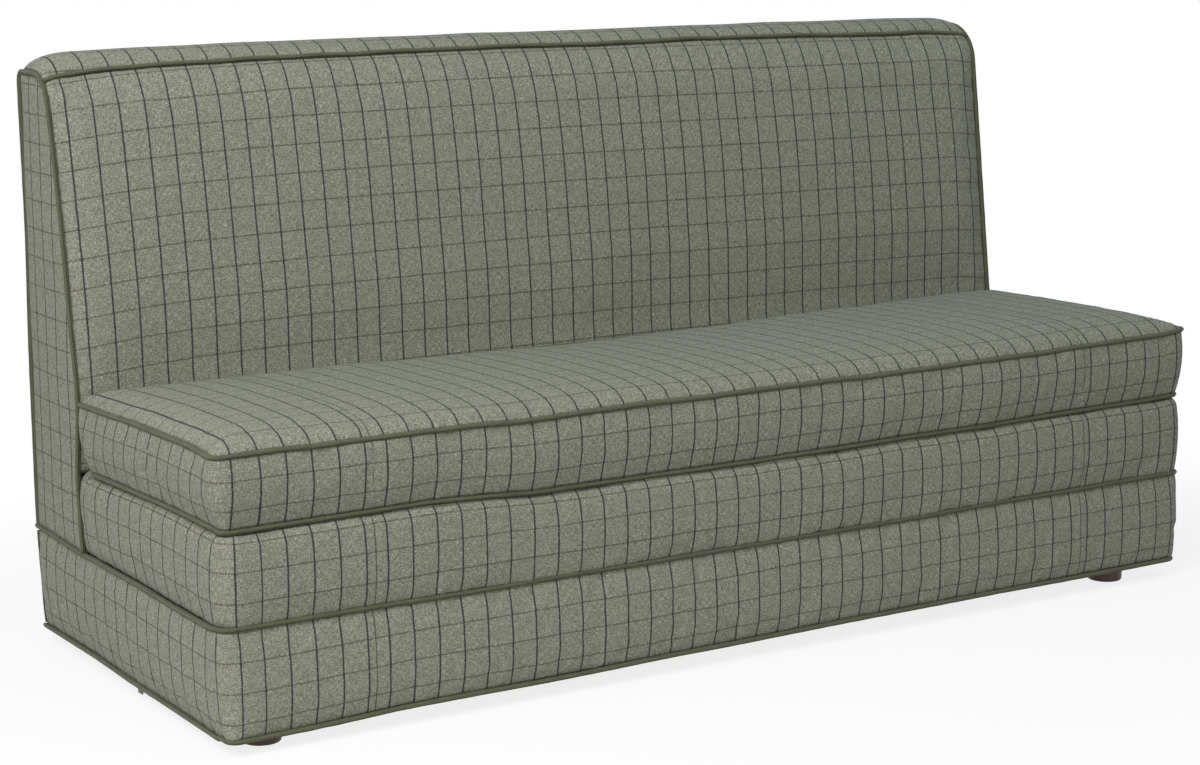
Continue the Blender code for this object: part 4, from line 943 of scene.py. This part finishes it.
def cushion_u(s, middle):
    """Checks along the cushion's boxing, by the length from the middle of its front."""
    past = np.abs(s) - BOX_TURN_START
    turn = TURN_CHECK + (RUN_CHECK - TURN_CHECK) * past / BOX_TURN
    turn = np.where(past < BOX_TURN, turn, RUN_CHECK + (past - BOX_TURN) / BOX_PITCH_U)
    front = joined_u(s - CUSHION_MIDDLE, middle - CUSHION_MIDDLE)
    return np.where(np.abs(middle) < BOX_TURN_START, front, np.sign(s) * turn)


def cushion_cloth(index, grid, way):
    """Faces and checks over the top or underside of the cushion."""
    corners = grid_corners(*index.shape)
    x, y = grid[..., 0] - CUSHION_MIDDLE, grid[..., 1] - CUSHION_CROSS_LINE
    middle = (x[corners[0]] + x[corners[1]]) / 2
    uvs = [np.stack([joined_u(x[c], middle), y[c] / PITCH_V], 1) for c in corners]
    return np.stack([index[c] for c in corners], 1)[:, ::way], np.stack(uvs, 1)[:, ::way]


def build_cushion():
    top, low = cushion_outline(1.0), cushion_outline(0.0)
    A, B = cushion_grid(top)
    nx, ny = A.shape
    top_grid, low_grid = cushion_top(A, B, top), cushion_underside(A, B, low)
    ring = outline_of(nx, ny)
    count = len(ring[0])
    edge_top, edge_low = top_grid[ring], low_grid[ring]
    normal = outward(edge_top, np.array([CUSHION_MIDDLE, (top[1] + top[2]) / 2]))
    length = run_length(edge_top)
    full = 0.0105 - 0.0100 * np.clip(normal[:, 0], 0, 1) ** 2
    box = []
    for share in BOX_SHARES:
        line = edge_low + (edge_top - edge_low) * share
        swell = full * math.sin(math.pi * share) ** 0.75 + 0.0012 * ripple(length, share * 0.1, 0.25, 58)
        line[:, :2] += normal * swell[:, None]
        box.append(line)
    first_box = nx * ny
    first_low = first_box + count * len(BOX_SHARES)
    first_inner = first_low + count
    inner = (slice(1, -1), slice(1, -1))
    verts = np.concatenate([top_grid.reshape(-1, 3), *box, edge_low, low_grid[inner].reshape(-1, 3)])
    index_top = np.arange(first_box).reshape(nx, ny)
    index_low = np.empty((nx, ny), int)
    index_low[ring] = np.arange(first_low, first_inner)
    index_low[inner] = np.arange(first_inner, len(verts)).reshape(nx - 2, ny - 2)

    cloths = [cushion_cloth(index_top, top_grid, 1), cushion_cloth(index_low, low_grid, -1)]
    rings = [index_top[ring]] + list(np.arange(first_box, first_low).reshape(-1, count)) + [index_low[ring]]
    levels = np.concatenate([[1], BOX_SHARES, [0]])
    tall = CUSHION_HIGH - CUSHION_LOW + CUSHION_DROP
    box_v = (levels * tall + CUSHION_LOW - CUSHION_DROP - BOX_LINE) / BOX_PITCH_V
    high_at, low_at = front_lengths(edge_top, nx, ny), front_lengths(edge_low, nx, ny)
    middle = (high_at[0] + high_at[1]) / 2
    for k in range(len(rings) - 1):
        ids, uvs = [], []
        for row, end in ((k, 0), (k + 1, 0), (k + 1, 1), (k, 1)):
            u = cushion_u(low_at[end] + (high_at[end] - low_at[end]) * levels[row], middle)
            uvs.append(np.stack([u, np.full(count, box_v[row])], 1))
            ids.append(np.roll(rings[row], -end))
        cloths.append((np.stack(ids, 1), np.stack(uvs, 1)))
    faces, uvs = (np.concatenate(part) for part in zip(*cloths))

    held = np.zeros(len(verts), bool)
    held[index_top[ring]] = True
    held[first_low:] = True
    most = np.where(verts[:, 0] > 0.952, 0.0006, 0.003)
    most[:first_box] = 0.0012
    verts = inflate(verts, faces, held, pressure=1.6, slack=0.004, cap=most, frames=16)
    obj = mesh_object("seat_cushion_cover", verts, faces, uvs, TWEED)
    mark_points(obj, "join", np.abs(np.abs(verts[:, 0] - CUSHION_MIDDLE) - JOIN))
    # Lengths for painted shade: the top and boxing darken beside the piping, and the underside darkens all
    # over.
    rows = np.repeat(np.minimum(BOX_SHARES * tall - 0.003, (1 - BOX_SHARES) * tall), count)
    gap = side_gap(A, B, top).ravel() + 0.0015
    mark_points(obj, "edge", np.concatenate([gap, rows, np.zeros(len(verts) - first_low)]))
    settle(obj, "cushion", ["seat_cushion"])

    for name, edge, seed in (("top", edge_top, 55), ("bottom", edge_low, 56)):
        out = 0.0012 + 0.0009 * ripple(edge[:, 0] + 0.7 * edge[:, 1], 0, 0.35, seed)
        line = edge.copy()
        line[:, :2] += normal * out[:, None]
        piping(f"cushion_{name}_cord", line, True, "cushion", f"cushion_{name}_piping")


# Piping
def even(path, closed):
    """The same path with evenly spaced points, and the length to each of them."""
    path = np.asarray(path, float)
    if closed:
        path = np.concatenate([path, path[:1]])
    length = run_length(path)
    keep = np.concatenate([[True], np.diff(length) > 1e-7])
    path, length = path[keep], length[keep]
    count = int(length[-1] / CORD_STEP)
    at = np.linspace(0, length[-1], count + (0 if closed else 1), endpoint=not closed)
    return np.stack([np.interp(at, length, path[:, k]) for k in range(3)], 1), at


def cord_axes(line, closed):
    """Two directions across a cord at each of its points, which turn as little as they can along it."""
    tangent = np.roll(line, -1, 0) - np.roll(line, 1, 0) if closed else np.gradient(line, axis=0)
    tangent /= np.linalg.norm(tangent, axis=1, keepdims=True)
    up = np.where(np.abs(tangent[:, 2:]) > 0.8, np.array([[0.0, 1.0, 0.0]]), np.array([[0.0, 0.0, 1.0]]))
    side = np.cross(tangent, up)
    side /= np.linalg.norm(side, axis=1, keepdims=True)
    for k in range(1, len(line)):
        if side[k] @ side[k - 1] < 0:
            side[k] = -side[k]
        blend = side[k] * 0.35 + side[k - 1] * 0.65
        blend -= tangent[k] * (blend @ tangent[k])
        side[k] = blend / np.linalg.norm(blend)
    return side, np.cross(side, tangent)


def piping(name, path, closed, body, node, turn=0.0, sides=18):
    """A covered cord along a path, with two sewn grooves, turned by an angle, and uneven as hand work is."""
    line, at = even(path, closed)
    seed = len(name) * 7 + ord(name[0]) + ord(name[-8])    # sets the cords apart from each other
    n = len(line)
    side, lift = cord_axes(line, closed)
    angle = np.arange(sides) * math.tau / sides
    groove = sum(np.exp(-(np.angle(np.exp(1j * (angle - centre))) / 0.26) ** 2) for centre in GROOVES)
    section = 1 - 0.20 * groove
    size = PIPE * (1 + 0.035 * ripple(at, 0, 0.05, seed) + 0.03 * ripple(at, 0, 0.3, seed + 1))
    if closed:
        size = PIPE + (size - PIPE) * np.minimum(np.minimum(at, at[-1] - at) / 0.1, 1)
    across, upward = (f(angle + turn)[None, :, None] for f in (np.cos, np.sin))
    ring = across * side[:, None] + upward * lift[:, None]
    verts = (line[:, None] + ring * (size[:, None] * section)[..., None]).reshape(-1, 3)
    rows = np.arange(n if closed else n - 1)
    k, c = (part.ravel() for part in np.meshgrid(rows, np.arange(sides), indexing="ij"))
    d, after = (c + 1) % sides, (k + 1) % n
    faces = np.stack([k * sides + c, k * sides + d, after * sides + d, after * sides + c], 1)
    here, ahead = at[k], at[k] + CORD_STEP
    low, high = angle[c] * PIPE, (c + 1) * math.tau / sides * PIPE
    uvs = np.stack([here, low, here, high, ahead, high, ahead, low], 1)
    obj = mesh_object(name, verts, faces, uvs, CORD)
    if not closed:
        cap_ends(obj, n, sides)
    settle(obj, body, [node])


def cap_ends(obj, n, sides):
    """Close both ends of an open cord."""
    bm = bmesh.new()
    bm.from_mesh(obj.data)
    bm.verts.ensure_lookup_table()
    bm.faces.new([bm.verts[k] for k in range(sides)][::-1])
    bm.faces.new([bm.verts[(n - 1) * sides + k] for k in range(sides)])
    bmesh.ops.recalc_face_normals(bm, faces=bm.faces[:])
    bm.to_mesh(obj.data)
    bm.free()


def base_ring(z, half, front):
    """The base's outline in plan at a height, from the left rear round the front and back."""
    _, place, _, _ = band_path(BASE_CORNER, half, front, REAR)
    ring = [(x, y, z) for x, y in place]
    corner = BASE_REAR_CORNER
    quarter = np.linspace(0, math.pi / 2, 5)
    for sign, angles in ((1, quarter[1:]), (-1, math.pi / 2 + quarter[:-1])):
        for a in angles:
            x = sign * (half - corner) + corner * math.cos(a)
            ring.append((x, REAR - corner + corner * math.sin(a), z))
    return np.array(ring)


def build_piping():
    low_ring = base_ring(BASE_LOW, HALF - BASE_TAPER, FRONT - BASE_KICK)
    top_ring = base_ring(BASE_TOP, HALF, FRONT + BASE_DRAW)
    for name, path, line, wave, size, seed in (("bottom", low_ring, BASE_LOW_LINE, 0.0008, 0.5, 61),
                                               ("top", top_ring, BASE_TOP_LINE, 0.0007, 0.4, 62)):
        x, y = path[:, 0], path[:, 1]
        path[:, 2] += wave * ripple(x, y, size, seed) + off_level(x, y, line, BASE_REAR)
        piping(f"base_{name}_cord", path, True, "base", f"base_{name}_piping")
    for sign in SIDES:
        build_side_piping(sign)
    x = np.linspace(-HALF + 0.002, HALF - 0.002, 240)
    radius, angle = roll_at(x), seam_angle(x)
    path = np.stack([x, roll_centre(radius) - radius * np.cos(angle), ROLL_Z + radius * np.sin(angle)], 1)
    path[:, 2] += 0.0007 * ripple(x, 0, 0.12, 66)
    piping("back_top_cord", path, False, "base", "back_top_piping")


def build_side_piping(sign):
    """The piping round one side of the back and down the base's corner below it."""
    side, roll = SIDES[sign], END_ROLL[sign]
    rear_corner, inset_most = 0.016, 0.0028
    z = np.linspace(BASE_TOP + 0.003, ROLL_Z + roll * math.sin(LEAN), 40)
    front = np.stack([back_y(z) + pad_shift(sign * HALF, z), z], 1)
    a = np.linspace(LEAN, math.pi / 2, 14)[1:]
    over = np.stack([roll_centre(roll) - roll * np.cos(a), ROLL_Z + roll * np.sin(a)], 1)
    b = np.linspace(math.pi / 2, 0, 7)
    rear = np.array([REAR, ROLL_Z + roll]) - rear_corner + rear_corner * np.stack([np.cos(b), np.sin(b)], 1)
    z = np.linspace(0.93, BASE_TOP + 0.003, 30)
    down = np.stack([np.full_like(z, REAR), z], 1)
    line = np.concatenate([front, over, rear, down])
    out = 0.0012 * ripple(line[:, 1], line[:, 0], 0.5, 63 + sign)
    inset = inset_most * part_of(line[:, 0] - 0.33, 0.03)
    path = np.stack([sign * (HALF - inset + out), line[:, 0] + out, line[:, 1]], 1)
    path[0, 2] -= 0.004
    piping(f"back_{side}_cord", path, False, "base", f"back_{side}_piping", -1.05)
    z = np.linspace(BASE_LOW + 0.006, BASE_TOP - 0.004, 16)
    curl = part_of(0.07 - z, 0.06) ** 2
    x = sign * (HALF - inset_most - BASE_TAPER * (BASE_TOP - z) / (BASE_TOP - BASE_LOW))
    path = np.stack([x, REAR - 0.001 - 0.010 * curl, z], 1)
    piping(f"base_{side}_rear_cord", path, False, "base", f"base_{side}_rear_piping")


# Turned feet: radius at each share of the height
FOOT_PROFILE = ((0.0250, 1.0), (0.0262, 0.97), (0.0275, 0.86), (0.0300, 0.72), (0.0309, 0.58), (0.0310, 0.36),
                (0.0310, 0.15), (0.0308, 0.07), (0.0304, 0.025), (0.0297, 0.0))


def build_feet(sides=40):
    stain = make_wood("stained_beech_lacquer", rgb(44, 22, 13), rgb(82, 42, 24), rgb(28, 14, 9),
                      (40.0, 40.0, 6.0), 0.50, 0.08)
    ring = [(math.cos(k * math.tau / sides), math.sin(k * math.tau / sides)) for k in range(sides)]
    faces = []
    for i in range(len(FOOT_PROFILE) - 1):
        for k in range(sides):
            j = (k + 1) % sides
            faces.append((i * sides + k, (i + 1) * sides + k, (i + 1) * sides + j, i * sides + j))
    last = (len(FOOT_PROFILE) - 1) * sides
    faces += [tuple(range(sides)), tuple(last + k for k in range(sides))[::-1]]
    uvs = [(0.0, 0.0)] * sum(len(f) for f in faces)
    for name in ("front_left_foot", "front_right_foot", "rear_left_foot", "rear_right_foot"):
        low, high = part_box(name)
        x, y = ((a + b) / 2 for a, b in zip(low[:2], high[:2]))
        verts = [(x + r * c, y + r * s, high[2] * share) for r, share in FOOT_PROFILE for c, s in ring]
        obj = mesh_object(f"{name}_turning", verts, faces, uvs, stain)
        obj.data.polygons[-1].use_smooth = False
        obj.data.polygons[-2].use_smooth = False
        settle(obj, "base", [name])


# Better materials on the CAD pieces that stay
def finish_frame():
    ply = {axis: make_plywood(f"birch_plywood_{axis}", axis) for axis in "xyz"}
    pine = (rgb(196, 150, 96), rgb(226, 190, 138), rgb(150, 104, 62))
    pine_x = make_wood("planed_pine_long", *pine, (1.2, 16.0, 16.0), 0.6)
    pine_z = make_wood("planed_pine_upright", *pine, (16.0, 16.0, 1.2), 0.6)
    zinc = make_metal("zinc_plated_steel", rgb(176, 180, 184), rgb(214, 217, 220), 1.0, 0.34, 260.0)
    dull = make_metal("dull_plated_steel", rgb(92, 100, 108), rgb(128, 136, 142), 0.7, 0.5, 260.0)
    steel = make_metal("ground_steel", rgb(196, 197, 200), rgb(226, 227, 230), 1.0, 0.16, 400.0)
    black = make_metal("black_painted_tube", rgb(22, 22, 24), rgb(34, 34, 36), 0.0, 0.34, 300.0)
    lining = make_woven("black_nonwoven", rgb(16, 16, 17), rgb(44, 44, 46), 0.0016)
    webbing = make_woven("pull_tab_webbing", rgb(52, 50, 44), rgb(104, 100, 88), 0.0024)
    kinds = (("left_link_bracket", dull), ("side_panel", ply["x"]), ("front_panel", ply["y"]),
             ("rear_panel", ply["y"]), ("back_board", ply["y"]), ("storage_floor", ply["z"]),
             ("lid_board", ply["z"]), ("dust_cover", lining), ("lid_pull_tab", webbing), ("_post", pine_z),
             ("hinge_pin", steel), ("_rod", steel), ("_cylinder", black), ("bracket", zinc), ("_leaf", zinc),
             ("rail", pine_x), ("bearer", pine_x), ("rest", pine_x))
    for name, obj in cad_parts.items():
        mat = next((mat for ending, mat in kinds if name.endswith(ending)), None)
        if mat:
            obj.data.materials.clear()
            obj.data.materials.append(mat)


# Floor, light and camera
FLOOR_HALF = 14
AMBIENT = 0.34
LAMPS = (
    ("key", (-2.9, -1.7, 2.7), (-0.3, 0.0, 0.5), (2.4, 2.0), 140.0, (1.0, 0.99, 0.97)),
    ("top", (1.0, -0.9, 3.0), (0.4, 0.1, 0.5), (3.2, 1.6), 18.0, (0.70, 0.92, 1.0)),
    ("front", (-0.6, -3.6, 0.9), (0.0, -0.3, 0.5), (2.4, 1.0), 6.0, (1.0, 0.99, 0.97)),
)
CAMERA_AIM, CAMERA_DISTANCE = Vector((-0.0635, 0.0125, 0.4068)), 4.5702
CAMERA_TURN, CAMERA_RISE = math.radians(-32.836), math.radians(10.898)
LENS, SENSOR = 79.55, 36.0


def place_at(name, data, place, way):
    """A lamp or camera at a place, looking along a way."""
    obj = bpy.data.objects.new(name, data)
    bpy.context.scene.collection.objects.link(obj)
    obj.location = place
    obj.rotation_euler = way.to_track_quat("-Z", "Y").to_euler()
    return obj


def build_floor():
    """A white floor that catches shadows near the settee and clears away from it."""
    half = FLOOR_HALF
    mesh = bpy.data.meshes.new("floor")
    corners = [(-half, -half, 0), (half, -half, 0), (half, half, 0), (-half, half, 0)]
    mesh.from_pydata(corners, [], [(0, 1, 2, 3)])
    floor = bpy.data.objects.new("floor", mesh)
    bpy.context.scene.collection.objects.link(floor)
    tree = new_material("studio_floor")
    mat = tree.finish({"Base Color": (0.86, 0.86, 0.86, 1.0), "Roughness": 0.9, "Specular IOR Level": 0.0})
    white = tree.node("ShaderNodeEmission", Color=(1, 1, 1, 1), Strength=1.0)
    matt = tree.nodes["Principled BSDF"].outputs[0]
    blend = tree.node("ShaderNodeMixShader", i0=tree.times(tree.seen(), 0.82), i1=matt, i2=white)
    away = tree.node("ShaderNodeVectorMath", {"operation": "LENGTH"}, 1,
                     i0=tree.stretch(tree.place(), 1.0, 1.3, 1.0))
    clear = tree.node("ShaderNodeBsdfTransparent")
    blend = tree.node("ShaderNodeMixShader", i0=tree.ramp(away, 1.1, 2.0), i1=blend, i2=clear)
    tree.put(tree.nodes["Material Output"].inputs[0], blend)
    mesh.materials.append(mat)


def build_stage():
    scene = bpy.context.scene
    build_floor()
    scene.world = bpy.data.worlds.new("studio")
    sky = Tree(scene.world)
    back = sky.nodes["Background"].inputs
    sky.put(back["Color"], (1, 1, 1, 1))
    sky.put(back["Strength"], sky.ramp(sky.seen(), 0.0, 1.0, AMBIENT, 1.0))
    for name, place, aim, size, power, colour in LAMPS:
        data = bpy.data.lights.new(name, "AREA")
        data.shape = "RECTANGLE"
        data.size, data.size_y = size
        data.energy = power
        data.color = colour
        place_at(name, data, place, Vector(aim) - Vector(place))
    data = bpy.data.cameras.new("camera")
    data.sensor_width = SENSOR
    data.sensor_fit = "HORIZONTAL"
    data.lens = LENS
    level = math.cos(CAMERA_RISE)
    way = Vector((math.sin(CAMERA_TURN) * level, -math.cos(CAMERA_TURN) * level, math.sin(CAMERA_RISE)))
    scene.camera = place_at("camera", data, CAMERA_AIM + way * CAMERA_DISTANCE, -way)
    scene.view_settings.view_transform = "Standard"


build_stage()
build_base()
build_seat()
build_back()
build_cushion()
build_piping()
build_feet()
finish_frame()
